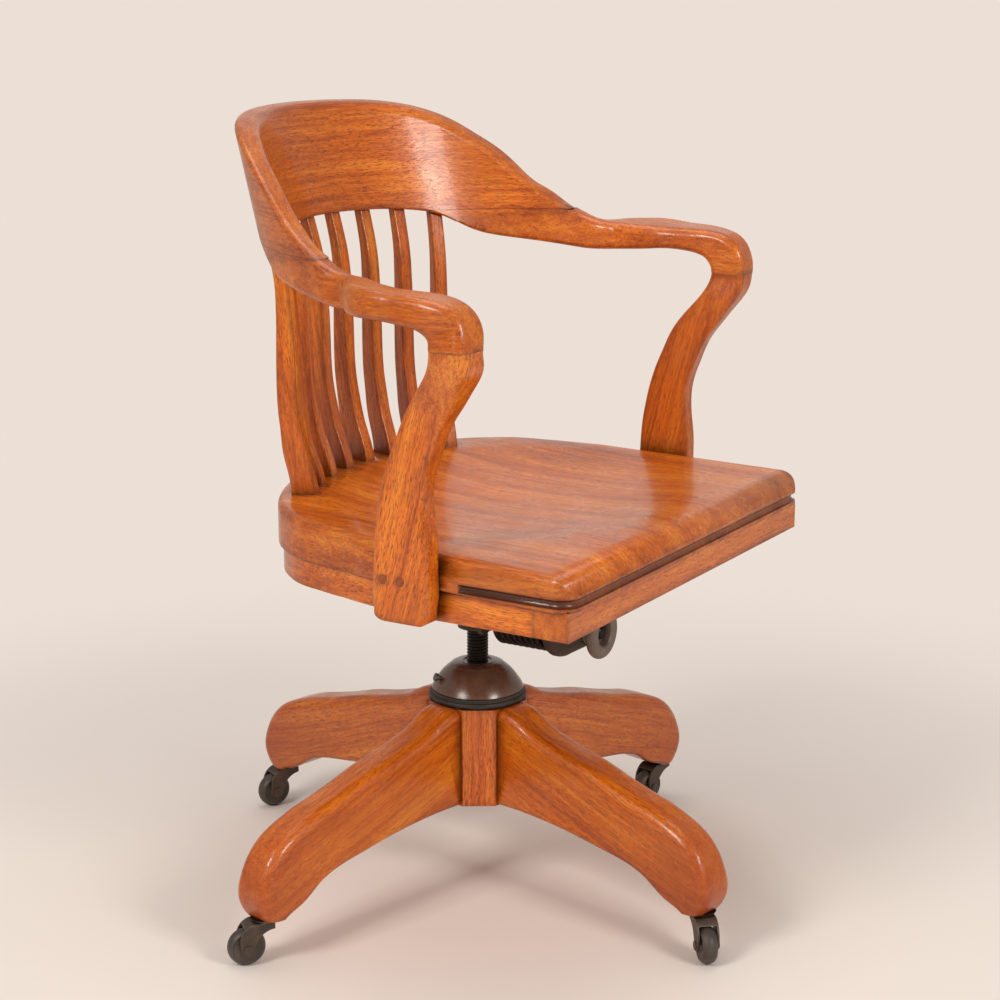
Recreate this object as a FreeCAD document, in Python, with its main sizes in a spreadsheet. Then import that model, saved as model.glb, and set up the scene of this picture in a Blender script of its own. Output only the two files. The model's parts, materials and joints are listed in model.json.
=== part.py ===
"""Bankers swivel chair: oak armchair on a tilting iron column and four splayed legs.

Millimetres, +Z up, the sitter faces -Y, the origin lies on the floor under the swivel axis.
"""
import FreeCAD
import Part
import Sketcher
import math
import os

from FreeCAD import Placement, Rotation, Vector

doc = FreeCAD.newDocument("BankersChair")
sheet = doc.addObject("Spreadsheet::Sheet", "Sizes")

# Each row is a name, its value in millimetres or degrees, and what it measures.
rows = [
    ("legTurn", -11.74, "turn of the leg cross against the seat, degrees"),
    ("hubPanel", 54.0, "swivel axis to the bare faces of the hub"),
    ("hubSeat", 51.0, "swivel axis to the faces that carry legs"),
    ("hubBottom", 100.0, "underside of the hub"),
    ("hubTop", 210.6, "top of the hub"),
    ("legWidth", 46.0, "thickness of a leg"),
    ("legReach", 341.0, "swivel axis to the end of a toe"),
    ("legTopRound", 12.0, "rounding of the upper leg edges"),
    ("legLowRound", 5.0, "rounding of the lower leg edges"),
    ("toeFlat", 50.0, "height of the flat under each toe"),
    ("casterInset", 21.0, "end of a toe to the caster stem"),
    ("socketRadius", 7.0, "caster socket in the toe"),
    ("socketDepth", 36.0, "length of a caster socket in the toe"),
    ("socketFlange", 14.5, "radius of the socket flange"),
    ("flangeThick", 3.0, "thickness of the socket flange"),
    ("stemRadius", 4.0, "caster stem"),
    ("wheelRadius", 20.0, "caster wheel"),
    ("wheelWidth", 18.0, "width of a caster wheel"),
    ("casterTrail", 19.5, "caster stem to caster axle"),
    ("casterAxle", 3.0, "radius of a caster axle"),
    ("forkPlate", 2.0, "thickness of a caster fork plate"),
    ("runningGap", 0.05, "radial gap of a turning or sliding fit"),
    ("faceGap", 0.3, "gap between faces that move past each other"),
    ("sleeveOuter", 22.0, "outer radius of the bearing sleeve in the hub"),
    ("sleeveBottom", 140.0, "shoulder under the bearing sleeve"),
    ("noseRadius", 18.0, "radius of the nut's bearing nose"),
    ("noseBottom", 150.0, "lower end of the nut's nose"),
    ("collarRadius", 54.0, "collar ring under the nut"),
    ("collarThick", 10.4, "thickness of the collar ring"),
    ("domeRadius", 50.0, "widest radius of the domed nut"),
    ("domeHeight", 30.8, "height of the domed nut"),
    ("spindleRadius", 12.0, "spindle"),
    ("spindleBottom", 136.0, "lower end of the spindle"),
    ("headBottom", 291.0, "underside of the tilt head"),
    ("bossRadius", 22.0, "boss round the top of the spindle"),
    ("pivotHeight", 350.0, "height of the tilt axle"),
    ("tiltAxle", 8.0, "radius of the tilt axle"),
    ("headHalf", 30.0, "half width of the tilt head"),
    ("lugRound", 18.0, "rounding of head and irons about the axle"),
    ("earInner", 50.0, "inner face of a seat iron"),
    ("earThick", 8.0, "thickness of a seat iron's ear"),
    ("strapWidth", 30.0, "width of a seat iron's strap"),
    ("strapThick", 8.0, "thickness of a seat iron's strap"),
    ("strapFront", 215.0, "front reach of a seat iron"),
    ("strapRear", 150.0, "rear reach of a seat iron"),
    ("rodHeight", 308.0, "height of the tension rod and its anchor pins"),
    ("rodRadius", 7.0, "tension rod"),
    ("rodFront", 170.0, "front reach of the tension rod"),
    ("pinRadius", 5.0, "anchor pins on the boss"),
    ("barThick", 5.5, "thickness of the spring bar"),
    ("barFace", 31.0, "front face of the spring bar before the axle"),
    ("springOuter", 30.0, "outer radius of the tilt spring"),
    ("springWire", 3.25, "radius of the spring wire"),
    ("springTurns", 8.0, "turns of the tilt spring"),
    ("cupFace", 97.0, "spring seat of the cup before the axle"),
    ("cupRadius", 34.0, "radius of the spring cup"),
    ("cupThick", 13.0, "thickness of the spring cup"),
    ("gripRadius", 30.0, "radius of the tension handwheel"),
    ("gripThick", 9.0, "thickness of the handwheel rim"),
    ("gripHub", 17.0, "radius of the handwheel hub"),
    ("gripLength", 47.0, "length of the handwheel with its hub"),
    ("seatHalf", 264.0, "half width of the seat board"),
    ("seatFront", 266.0, "front reach of the seat board"),
    ("seatRear", 196.0, "rear reach of the seat board"),
    ("seatBottom", 411.0, "underside of the seat board"),
    ("seatHigh", 457.0, "top of the seat board at its rear edge"),
    ("seatDrop", 11.0, "fall of the top from rear to front roll"),
    ("frontRoll", 30.0, "rolled front edge of the seat board"),
    ("seatRound", 9.0, "rounding of the side and rear top edge"),
    ("frontCorner", 22.0, "plan radius of the front corners"),
    ("sideCorner", 170.0, "plan radius of the rear corners"),
    ("rearArc", 297.0, "plan radius of the rear edge"),
    ("dishHalf", 225.0, "half width of the saddled dish"),
    ("dishFront", 215.0, "front end of the dish"),
    ("dishRear", 135.0, "rear end of the dish"),
    ("dishDepth", 14.0, "depth of the dish"),
    ("coveRadius", 4.5, "groove round the front of the seat board"),
    ("coveHeight", 8.0, "centre of the groove over the underside"),
    ("coveStop", 141.0, "stopped end of the groove before the axle"),
    ("railHeight", 29.5, "height of the rails"),
    ("railInset", 5.0, "rails set in from the seat edge"),
    ("railThick", 22.0, "thickness of side and rear rails"),
    ("frontRail", 40.0, "depth of the front rail"),
    ("railJoint", 75.0, "joint of side and rear rails before the axle"),
    ("footBottom", 383.0, "lower end of the arm posts"),
    ("armJoint", 658.0, "joint between post and arm"),
    ("plugRadius", 5.0, "wooden plugs in the post feet"),
    ("plugDepth", 8.0, "depth of a plug"),
    ("plugRise", 14.0, "height of the plugs over the underside of the seat board"),
    ("screwRadius", 2.5, "wood screws"),
    ("screwHead", 4.5, "screw heads"),
    ("crestRadius", 248.0, "inner radius of the crest and arm ring"),
    ("crestThick", 25.0, "thickness of the crest"),
    ("crestLean", 0.26, "backward lean of the crest per unit height"),
    ("crestRound", 9.0, "rounding of the crest's top edges"),
    ("armRound", 10.0, "rounding of the arms' top edges"),
    ("armLowRound", 7.0, "rounding of the arms' lower edges"),
    ("seamHeight", 725.0, "crest seam at its front end"),
    ("seamFall", 0.126, "fall of the crest seam per unit towards the rear"),
    ("slatWidth", 16.0, "width of a back slat"),
    ("slatRound", 2.5, "rounding of the slat edges"),
    ("slatFootInset", 43.0, "rear edge of the seat to the slat fronts"),
    ("slatFootStep", 8.94, "angle between slat feet, degrees"),
    ("slatTopStep", 10.49, "angle between slat tops, degrees"),
    ("slatGap", 0.2, "gap between slat shoulders and crest"),
    ("tenonWidth", 10.0, "width of the slat tenons"),
    ("tenonDepth", 14.0, "length of the slat tenons"),
]
for line, (alias, value, note) in enumerate(rows, start=1):
    sheet.set("A" + str(line), note)
    sheet.set("B" + str(line), str(value))
    sheet.setAlias("B" + str(line), alias)
doc.recompute()


def size(alias):
    """Value of one row of the sheet."""
    return float(sheet.get(alias))


def bind(item, path, formula):
    """Tie one property of an object to the sheet, names written as @name."""
    item.setExpression(path, formula.replace("@", "Sizes."))


def interpolate(table, where):
    """Smooth monotone curve through a table of (position, value) rows."""
    if where <= table[0][0]:
        return table[0][1]
    if where >= table[-1][0]:
        return table[-1][1]
    spans = [b[0] - a[0] for a, b in zip(table, table[1:])]
    slopes = [(b[1] - a[1]) / span for a, b, span in zip(table, table[1:], spans)]
    tangents = [slopes[0]]
    for before, after in zip(slopes, slopes[1:]):
        joined = 0.0 if before * after <= 0 else 2.0 * before * after / (before + after)
        tangents.append(joined)
    tangents.append(slopes[-1])
    index = max(i for i in range(len(spans)) if table[i][0] <= where)
    span = spans[index]
    t = (where - table[index][0]) / span
    start, end = table[index][1], table[index + 1][1]
    return (
        start * (2 * t**3 - 3 * t**2 + 1)
        + tangents[index] * span * (t**3 - 2 * t**2 + t)
        + end * (3 * t**2 - 2 * t**3)
        + tangents[index + 1] * span * (t**3 - t**2)
    )


def newBody(label):
    """Empty body that carries the piece's name."""
    made = doc.addObject("PartDesign::Body", label)
    made.Label = label
    return made


def newSketch(owner, role, offset=0.0):
    """Sketch on one of the body's own origin planes, lifted off it by an offset."""
    made = owner.newObject("Sketcher::SketchObject", "Sketch")
    planes = [feature for feature in owner.Origin.OriginFeatures if feature.Role == role]
    made.AttachmentSupport = [(planes[0], "")]
    made.MapMode = "FlatFace"
    made.AttachmentOffset = Placement(Vector(0, 0, offset), Rotation())
    return made


def flat(point):
    """Sketch point from a pair."""
    return Vector(point[0], point[1], 0)


def draw(sketch, *pieces):
    """Add lines, three-point arcs and curves to a sketch, end to end."""
    for kind, points in pieces:
        if kind == "line":
            for start, end in zip(points, points[1:]):
                sketch.addGeometry(Part.LineSegment(flat(start), flat(end)), False)
        elif kind == "arc":
            arc = Part.Arc(flat(points[0]), flat(points[1]), flat(points[2]))
            sketch.addGeometry(arc, False)
        else:
            curve = Part.BSplineCurve()
            curve.interpolate([flat(point) for point in points])
            sketch.addGeometry(curve, False)
    return sketch


def drawCircles(sketch, centres, alias):
    """Equal circles whose radius is tied to the sheet."""
    for x, y in centres:
        circle = sketch.addGeometry(Part.Circle(Vector(x, y, 0), Vector(0, 0, 1), size(alias)))
        rule = sketch.addConstraint(Sketcher.Constraint("Radius", circle, size(alias)))
        bind(sketch, "Constraints[" + str(rule) + "]", "@" + alias)
    return sketch


def feature(owner, kind, sketch, length=None, symmetric=False, through=False, backward=False):
    """Pad or pocket from a sketch."""
    made = owner.newObject("PartDesign::" + kind, kind)
    made.Profile = sketch
    sketch.Visibility = False
    if through:
        made.Type = "ThroughAll"
    if symmetric:
        made.SideType = "Symmetric"
    made.Reversed = backward
    if length is not None:
        bind(made, "Length", length)
    doc.recompute()
    return made


def roundEdges(owner, base, alias, chosen):
    """Fillet the edges of a feature that a test picks."""
    names = []
    for number, edge in enumerate(base.Shape.Edges, start=1):
        if chosen(edge):
            names.append("Edge" + str(number))
    made = owner.newObject("PartDesign::Fillet", "Fillet")
    made.Base = (base, names)
    bind(made, "Radius", "@" + alias)
    doc.recompute()
    return made


def middle(edge):
    """Point half way along an edge."""
    first, last = edge.ParameterRange
    return edge.valueAt(0.5 * (first + last))


def revolve(owner, pieces):
    """Turned piece: a profile in the XZ plane about the body's Z axis."""
    sketch = draw(newSketch(owner, "XZ_Plane"), *pieces)
    made = owner.newObject("PartDesign::Revolution", "Revolution")
    made.Profile = sketch
    made.ReferenceAxis = (sketch, ["V_Axis"])
    made.Angle = 360
    doc.recompute()
    return made


def cylinder(name, radius, height, base, axis=Vector(0, 0, 1)):
    """Cylinder with bound radius and height, from a base point along an axis."""
    made = doc.addObject("Part::Cylinder", name)
    bind(made, "Radius", radius)
    bind(made, "Height", height)
    made.Placement = Placement(base, Rotation(Vector(0, 0, 1), axis))
    return made


def box(name, low, high):
    """Box between two corners."""
    made = doc.addObject("Part::Box", name)
    made.Length = high[0] - low[0]
    made.Width = high[1] - low[1]
    made.Height = high[2] - low[2]
    made.Placement = Placement(Vector(*low), Rotation())
    return made


def fuse(name, parts):
    """One solid from several that meet."""
    made = doc.addObject("Part::MultiFuse", name)
    made.Shapes = parts
    made.Refine = True
    doc.recompute()
    return made


def cut(name, base, tools):
    """A solid less its tools."""
    made = doc.addObject("Part::Cut", name)
    made.Base = base
    if len(tools) == 1:
        made.Tool = tools[0]
    else:
        joined = doc.addObject("Part::Compound", name + "Tools")
        joined.Links = tools
        made.Tool = joined
    doc.recompute()
    return made


def common(name, base, tool):
    """What two solids share."""
    made = doc.addObject("Part::Common", name)
    made.Base = base
    made.Tool = tool
    doc.recompute()
    return made


def mirrored(name, source):
    """The same piece for the sitter's right side."""
    made = doc.addObject("Part::Mirroring", name)
    made.Source = source
    made.Normal = Vector(1, 0, 0)
    doc.recompute()
    return made


nodes = {}


def keep(label, item):
    """Name a finished piece and list it for writing."""
    item.Label = label
    nodes[label] = item
    return item


def roundedQuad(corners, radii):
    """Closed wire round four coplanar corners, each corner rounded."""
    starts = []
    middles = []
    ends = []
    for index, corner in enumerate(corners):
        back = corners[index - 1] - corner
        ahead = corners[(index + 1) % 4] - corner
        reach = min(radii[index], 0.46 * back.Length, 0.46 * ahead.Length)
        back.normalize()
        ahead.normalize()
        half = 0.5 * back.getAngle(ahead)
        bisector = back + ahead
        bisector.normalize()
        centre = corner + bisector * (reach / math.cos(half))
        starts.append(corner + back * reach)
        ends.append(corner + ahead * reach)
        middles.append(centre - bisector * (reach * math.tan(half)))
    edges = []
    for index in range(4):
        edges.append(Part.Arc(starts[index], middles[index], ends[index]).toShape())
        edges.append(Part.LineSegment(ends[index], starts[(index + 1) % 4]).toShape())
    return Part.Wire(edges)


def loft(name, wires):
    """Smooth solid through closed wires."""
    made = doc.addObject("Part::Feature", name)
    made.Shape = Part.makeLoft(wires, True, False, False)
    return made


# Base: an upright hub with four glued legs, turned a little against the seat.
hubSeat = size("hubSeat")
hubPanel = size("hubPanel")
hubTop = size("hubTop")
hubBottom = size("hubBottom")
toeFlat = size("toeFlat")
legTurn = size("legTurn")
legReach = size("legReach")
casterCircle = legReach - size("casterInset")

hub = newBody("base_hub")
cornerSide = (hubPanel * math.sqrt(2) - hubSeat) / hubSeat
hubPoints = []
for quarter in range(4):
    for side in (-1, 1):
        turn = math.radians(90 * quarter)
        x, y = hubSeat, side * cornerSide * hubSeat
        hubPoints.append((x * math.cos(turn) - y * math.sin(turn), x * math.sin(turn) + y * math.cos(turn)))
sketch = draw(newSketch(hub, "XY_Plane"), ("line", hubPoints + hubPoints[:1]))
feature(hub, "Pad", sketch, "@hubTop - @hubBottom")
sketch = drawCircles(newSketch(hub, "XY_Plane"), [(0, 0)], "bossRadius")
bind(sketch, "Constraints[0]", "@spindleRadius + 4")
feature(hub, "Pocket", sketch, through=True, backward=True)
sketch = drawCircles(newSketch(hub, "XY_Plane", size("sleeveBottom") - hubBottom), [(0, 0)], "sleeveOuter")
feature(hub, "Pocket", sketch, through=True, backward=True)
hub.Placement = Placement(Vector(0, 0, hubBottom), Rotation(Vector(0, 0, 1), legTurn))
keep("base_hub", hub)

topCurve = [(51, 210.6), (66, 208), (84, 195), (113, 183), (145, 175), (175, 168), (204, 159), (233, 150)]
topCurve += [(262, 142), (290, 133), (311, 123), (327, 108), (337, 92), (341, 78), (338, 63), (329, 50)]
lowCurve = [(306, 50), (297, 54), (287, 57.5), (275, 64), (259, 74), (241, 81), (199, 89), (157, 95)]
lowCurve += [(114, 99), (51, 100)]


def legPoint(point):
    """Leg profile point moved with the reach of the legs and the height of the hub."""
    share = (point[0] - 51) / (341 - 51)
    rise = (point[1] - 50) / (210.6 - 50)
    return (hubSeat + share * (legReach - hubSeat), toeFlat + rise * (hubTop - toeFlat))


halfLeg = size("legWidth") / 2
topCurve = [legPoint(point) for point in topCurve]
lowCurve = [legPoint(point) for point in lowCurve]
for number, name in enumerate(["front_right", "front_left", "rear_left", "rear_right"]):
    leg = newBody("leg_" + name)
    sketch = draw(
        newSketch(leg, "XZ_Plane"),
        ("curve", topCurve),
        ("line", [topCurve[-1], lowCurve[0]]),
        ("curve", lowCurve),
        ("line", [lowCurve[-1], topCurve[0]]),
    )
    pad = feature(leg, "Pad", sketch, "@legWidth", symmetric=True)

    def onSide(edge):
        """Edges of the two sawn side faces."""
        return abs(abs(middle(edge).y) - halfLeg) < 0.01 and edge.Curve.TypeId == "Part::GeomBSplineCurve"

    def upper(edge):
        """Edges of the top face, which holds the highest end."""
        return onSide(edge) and edge.BoundBox.ZMax > hubTop - 1

    def lower(edge):
        """Edges of the underside."""
        return onSide(edge) and edge.BoundBox.ZMax <= hubTop - 1

    rounded = roundEdges(leg, pad, "legLowRound", lower)
    rounded = roundEdges(leg, rounded, "legTopRound", upper)
    sketch = drawCircles(newSketch(leg, "XY_Plane", toeFlat), [(casterCircle, 0)], "socketRadius")
    feature(leg, "Pocket", sketch, "@socketDepth", backward=True)
    leg.Placement = Placement(Vector(), Rotation(Vector(0, 0, 1), legTurn - 90 + 90 * number))
    keep("leg_" + name, leg)

# Bearing sleeve, collar ring and the domed nut that turns on them.
gap = size("runningGap")
faceGap = size("faceGap")
spindleRadius = size("spindleRadius")
noseRadius = size("noseRadius")
sleeve = newBody("spindle_sleeve")
sleeveOuter = size("sleeveOuter")
sleeveBottom = size("sleeveBottom")
bore = noseRadius + gap
revolve(sleeve, [("line", [
    (bore, sleeveBottom), (sleeveOuter, sleeveBottom), (sleeveOuter, hubTop), (bore, hubTop), (bore, sleeveBottom),
])])
keep("spindle_sleeve", sleeve)

collarRadius = size("collarRadius")
collarTop = hubTop + size("collarThick")
collar = newBody("collar_ring")
inner = noseRadius + 1
revolve(collar, [
    ("line", [(inner, collarTop), (inner, hubTop), (collarRadius - 2, hubTop)]),
    ("arc", [(collarRadius - 2, hubTop), (collarRadius, hubTop + 3), (collarRadius - 1, hubTop + 6)]),
    ("line", [(collarRadius - 1, hubTop + 6), (collarRadius - 3, hubTop + 7), (collarRadius - 3, collarTop)]),
    ("line", [(collarRadius - 3, collarTop), (inner, collarTop)]),
])
keep("collar_ring", collar)

domeRadius = size("domeRadius")
domeBottom = collarTop + faceGap
domeTop = domeBottom + size("domeHeight")
noseBottom = size("noseBottom")
domeShape = [(1.0, 0.0), (0.992, 0.19), (0.95, 0.38), (0.87, 0.59), (0.74, 0.8), (0.62, 0.93), (0.54, 0.98)]
dome = [(domeRadius * a, domeBottom + b * (domeTop - domeBottom)) for a, b in domeShape]
nut = newBody("swivel_nut")
bore = spindleRadius + gap
revolve(nut, [
    ("line", [(bore, domeTop - 1.2), (bore, noseBottom), (noseRadius, noseBottom), (noseRadius, domeBottom), dome[0]]),
    ("curve", dome),
    ("line", [dome[-1], (dome[-1][0] - 1, domeTop), (dome[-1][0] - 4, domeTop)]),
    ("line", [(dome[-1][0] - 4, domeTop), (dome[-1][0] - 5, domeTop - 1.2), (bore, domeTop - 1.2)]),
])
lockTurn = Rotation(Vector(0, 0, 1), Vector(-0.70, 0.714, 0))
lockHeight = domeBottom + 14
lockAxis = Vector(-0.716, 0.598, 0.36)
lockAxis.normalize()
lockSpot = Vector(lockAxis.x, lockAxis.y, 0)
lockSpot.normalize()
lockSpot = lockSpot * (domeRadius * 0.9) + Vector(0, 0, lockHeight)
lockBore = cylinder("LockBore", "@screwRadius", "20", lockSpot - lockAxis * 16, lockAxis)
keep("swivel_nut", cut("NutBored", nut, [lockBore]))
lockShank = cylinder("LockShank", "@screwRadius", "18", lockSpot - lockAxis * 16, lockAxis)
lockHead = cylinder("LockHead", "@screwHead", "3", lockSpot + lockAxis * 2, lockAxis)
keep("nut_lock_screw", fuse("LockScrew", [lockShank, lockHead]))

# Column: the spindle with the cast tilt head and its axle on top.
pivot = size("pivotHeight")
headBottom = size("headBottom")
headHalf = size("headHalf")
lug = size("lugRound")
rodHeight = size("rodHeight")
spindleBottom = size("spindleBottom")
bossRadius = size("bossRadius")
blockBottom = rodHeight + 16
spindleTop = blockBottom - 4
spindle = doc.addObject("Part::Cylinder", "spindle")
bind(spindle, "Radius", "@spindleRadius")
bind(spindle, "Height", "@rodHeight + 12 - @spindleBottom")
spindle.Placement = Placement(Vector(0, 0, spindleBottom), Rotation())
keep("spindle", spindle)

boss = cylinder("Boss", "@bossRadius", "@rodHeight + 16 - @headBottom", Vector(0, 0, headBottom))
block = newBody("HeadBlock")
sketch = draw(
    newSketch(block, "YZ_Plane"),
    ("line", [(lug, pivot), (bossRadius, blockBottom), (-bossRadius, blockBottom), (-lug, pivot)]),
    ("arc", [(-lug, pivot), (0, pivot + lug), (lug, pivot)]),
)
feature(block, "Pad", sketch, "2 * @headHalf", symmetric=True)
pins = cylinder("Pins", "@pinRadius", "2 * @headHalf + 2", Vector(-headHalf - 1, 0, rodHeight), Vector(1, 0, 0))
flatFront = -(spindleRadius + 4)
relief = box("BossFlat", (-40, -40, headBottom - 1), (40, flatFront, blockBottom - 0.01))
bossCut = cut("BossCut", boss, [relief])
head = fuse("Head", [bossCut, block, pins])
headBore = cylinder("HeadBore", "@spindleRadius", "@rodHeight + 12 - @headBottom", Vector(0, 0, headBottom))
axleBore = cylinder("AxleBore", "@tiltAxle", "2 * @headHalf + 2", Vector(-headHalf - 1, 0, pivot), Vector(1, 0, 0))
keep("tilt_head", cut("HeadBored", head, [headBore, axleBore]))

earInner = size("earInner")
earOuter = earInner + size("earThick")
axleEnd = earOuter + 6
axleRod = cylinder("AxleRod", "@tiltAxle", "2 * (@earInner + @earThick + 6)", Vector(-axleEnd, 0, pivot), Vector(1, 0, 0))
headNear = cylinder("AxleHeadRight", "@tiltAxle + 4", "6 - @faceGap", Vector(-axleEnd, 0, pivot), Vector(1, 0, 0))
headFar = cylinder("AxleHeadLeft", "@tiltAxle + 4", "6 - @faceGap", Vector(axleEnd, 0, pivot), Vector(-1, 0, 0))
keep("tilt_axle", fuse("Axle", [axleRod, headNear, headFar]))

# Seat board: outline with rounded edge, rolled front, saddled dish, groove and sockets.
seatHalf = size("seatHalf")
seatFront = size("seatFront")
seatRear = size("seatRear")
seatBottom = size("seatBottom")
seatHigh = size("seatHigh")
frontCorner = size("frontCorner")
sideCorner = size("sideCorner")
rearArc = size("rearArc")
frontRoll = size("frontRoll")
seatSlope = size("seatDrop") / (seatRear + seatFront - frontRoll)


def seatTop(y):
    """Height of the seat's sloping top."""
    return seatHigh - seatSlope * (seatRear - y)


def planOutline(inset, front, corner):
    """Seat outline set in from the edge, as sketch pieces from the front right round to it."""
    half = seatHalf - inset
    side = sideCorner - inset
    rear = rearArc - inset
    arcCentre = seatRear - rearArc
    sideX = seatHalf - sideCorner
    sideY = arcCentre + math.sqrt((rearArc - sideCorner) ** 2 - sideX**2)
    turn = math.atan2(sideY - arcCentre, sideX)
    joint = (rear * math.cos(turn), arcCentre + rear * math.sin(turn))
    bend = (sideX + side * math.cos(turn / 2), sideY + side * math.sin(turn / 2))
    pieces = []
    if corner > 0:
        diagonal = corner * (1 - math.sqrt(0.5))
        pieces.append(("line", [(-half + corner, front), (half - corner, front)]))
        pieces.append(("arc", [(half - corner, front), (half - diagonal, front + diagonal), (half, front + corner)]))
        pieces.append(("line", [(half, front + corner), (half, sideY)]))
    else:
        pieces.append(("line", [(half, front), (half, sideY)]))
    pieces.append(("arc", [(half, sideY), bend, joint]))
    pieces.append(("arc", [joint, (0, seatRear - inset), (-joint[0], joint[1])]))
    pieces.append(("arc", [(-joint[0], joint[1]), (-bend[0], bend[1]), (-half, sideY)]))
    if corner > 0:
        pieces.append(("line", [(-half, sideY), (-half, front + corner)]))
        pieces.append(("arc", [(-half, front + corner), (-half + diagonal, front + diagonal), (-half + corner, front)]))
    else:
        pieces.append(("line", [(-half, sideY), (-half, front)]))
    return pieces


seat = newBody("seat_board")
sketch = draw(newSketch(seat, "XY_Plane", seatBottom), *planOutline(0, -seatFront, frontCorner))
feature(seat, "Pad", sketch, "@seatHigh - @seatBottom + 10")
sketch = draw(newSketch(seat, "YZ_Plane"), ("line", [
    (-seatFront - 5, seatTop(-seatFront - 5)), (seatRear + 5, seatTop(seatRear + 5)),
    (seatRear + 5, seatHigh + 20), (-seatFront - 5, seatHigh + 20), (-seatFront - 5, seatTop(-seatFront - 5)),
]))
sloped = feature(seat, "Pocket", sketch, symmetric=True, through=True)
rounded = roundEdges(seat, sloped, "seatRound", lambda edge: edge.BoundBox.ZMin > seatTop(-seatFront) - 1)
rollTop = -seatFront + frontRoll
rollHeight = seatTop(rollTop) - frontRoll
lowRoll = 0.5 * frontRoll * math.sqrt(2)
sketch = draw(
    newSketch(seat, "YZ_Plane"),
    ("arc", [(-seatFront, rollHeight), (rollTop - lowRoll, rollHeight + lowRoll), (rollTop, rollHeight + frontRoll)]),
    ("line", [
        (rollTop, rollHeight + frontRoll), (rollTop, seatHigh + 20), (-seatFront - 20, seatHigh + 20),
        (-seatFront - 20, rollHeight), (-seatFront, rollHeight),
    ]),
)
feature(seat, "Pocket", sketch, symmetric=True, through=True)

# The dish is turned about an axis high over the seat, along the seat's depth.
dishFront = -size("dishFront")
dishRear = size("dishRear")
dishDepth = size("dishDepth")
dishHalf = size("dishHalf")
dishMiddle = 0.5 * (dishFront + dishRear)
dishSpan = 0.5 * (dishRear - dishFront)
lengthRadius = (dishSpan**2 + dishDepth**2) / (2 * dishDepth)
widthRadius = (dishHalf**2 + dishDepth**2) / (2 * dishDepth)
dishBottom = seatTop(dishMiddle) - dishDepth


def dishPoint(share):
    """Point on the dish's lengthwise curve, share from -1 at the front to 1 at the rear."""
    y = dishMiddle + share * 1.3 * dishSpan
    away = y - dishMiddle
    height = dishBottom + lengthRadius - math.sqrt(lengthRadius**2 - away**2)
    return (y, height + seatSlope * away)


sketch = draw(
    newSketch(seat, "YZ_Plane"),
    ("arc", [dishPoint(-1), dishPoint(0), dishPoint(1)]),
    ("line", [dishPoint(1), (dishPoint(1)[0], seatHigh + 60), (dishPoint(-1)[0], seatHigh + 60), dishPoint(-1)]),
)
axisHeight = dishBottom + widthRadius
axisLine = sketch.addGeometry(
    Part.LineSegment(
        Vector(dishMiddle - 100, axisHeight - 100 * seatSlope, 0),
        Vector(dishMiddle + 100, axisHeight + 100 * seatSlope, 0),
    ),
    True,
)
groove = seat.newObject("PartDesign::Groove", "Dish")
groove.Profile = sketch
groove.ReferenceAxis = (sketch, ["Axis0"])
groove.Angle = 30
groove.Midplane = True
doc.recompute()

# The stopped groove runs from the arm posts round the front corners.
coveHeight = seatBottom + size("coveHeight")
coveStop = -size("coveStop")
diagonal = frontCorner * (1 - math.sqrt(0.5))
spine = draw(
    newSketch(seat, "XY_Plane", coveHeight),
    ("line", [(seatHalf, coveStop), (seatHalf, -seatFront + frontCorner)]),
    ("arc", [
        (seatHalf, -seatFront + frontCorner), (seatHalf - diagonal, -seatFront + diagonal),
        (seatHalf - frontCorner, -seatFront),
    ]),
    ("line", [(seatHalf - frontCorner, -seatFront), (-seatHalf + frontCorner, -seatFront)]),
    ("arc", [
        (-seatHalf + frontCorner, -seatFront), (-seatHalf + diagonal, -seatFront + diagonal),
        (-seatHalf, -seatFront + frontCorner),
    ]),
    ("line", [(-seatHalf, -seatFront + frontCorner), (-seatHalf, coveStop)]),
)
profile = drawCircles(newSketch(seat, "XZ_Plane", -coveStop), [(seatHalf, coveHeight)], "coveRadius")
cove = seat.newObject("PartDesign::SubtractivePipe", "Cove")
cove.Profile = profile
cove.Spine = (spine, [])
doc.recompute()
seatBody = seat

# Rails under the seat board.
railTop = seatBottom
railBottom = seatBottom - size("railHeight")
railInset = size("railInset")
railThick = size("railThick")
railJoint = -size("railJoint")
railFace = seatHalf - railInset
frontFace = -seatFront + railInset
frontBack = frontFace + size("frontRail")
front = newBody("front_rail")
sketch = draw(newSketch(front, "XY_Plane", railBottom), ("line", [
    (-railFace, frontFace), (railFace, frontFace), (railFace, frontBack), (-railFace, frontBack), (-railFace, frontFace),
]))
pad = feature(front, "Pad", sketch, "@railHeight")
keep("front_rail", front)
for name, side in (("left", 1), ("right", -1)):
    rail = newBody("side_rail_" + name)
    sketch = draw(newSketch(rail, "XY_Plane", railBottom), ("line", [
        (side * railFace, frontBack), (side * railFace, railJoint), (side * (railFace - railThick), railJoint),
        (side * (railFace - railThick), frontBack), (side * railFace, frontBack),
    ]))
    feature(rail, "Pad", sketch, "@railHeight")
    keep("side_rail_" + name, rail)
rear = newBody("rear_rail")
sketch = draw(newSketch(rear, "XY_Plane", railBottom), *planOutline(railInset, railJoint, 0))
draw(sketch, *planOutline(railInset + railThick, railJoint, 0))
draw(sketch, ("line", [(railFace, railJoint), (railFace - railThick, railJoint)]))
draw(sketch, ("line", [(-railFace, railJoint), (-railFace + railThick, railJoint)]))
feature(rear, "Pad", sketch, "@railHeight")
keep("rear_rail", rear)

# Crest and arms: one ring of sections, cut apart at the sloping seam.
crestRadius = size("crestRadius")
crestThick = size("crestThick")
lean = size("crestLean")
seamHeight = size("seamHeight")
seamFall = size("seamFall")
seamFront = 22.0
ringReference = seamHeight + 116
ringCentre = -26.0

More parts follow.
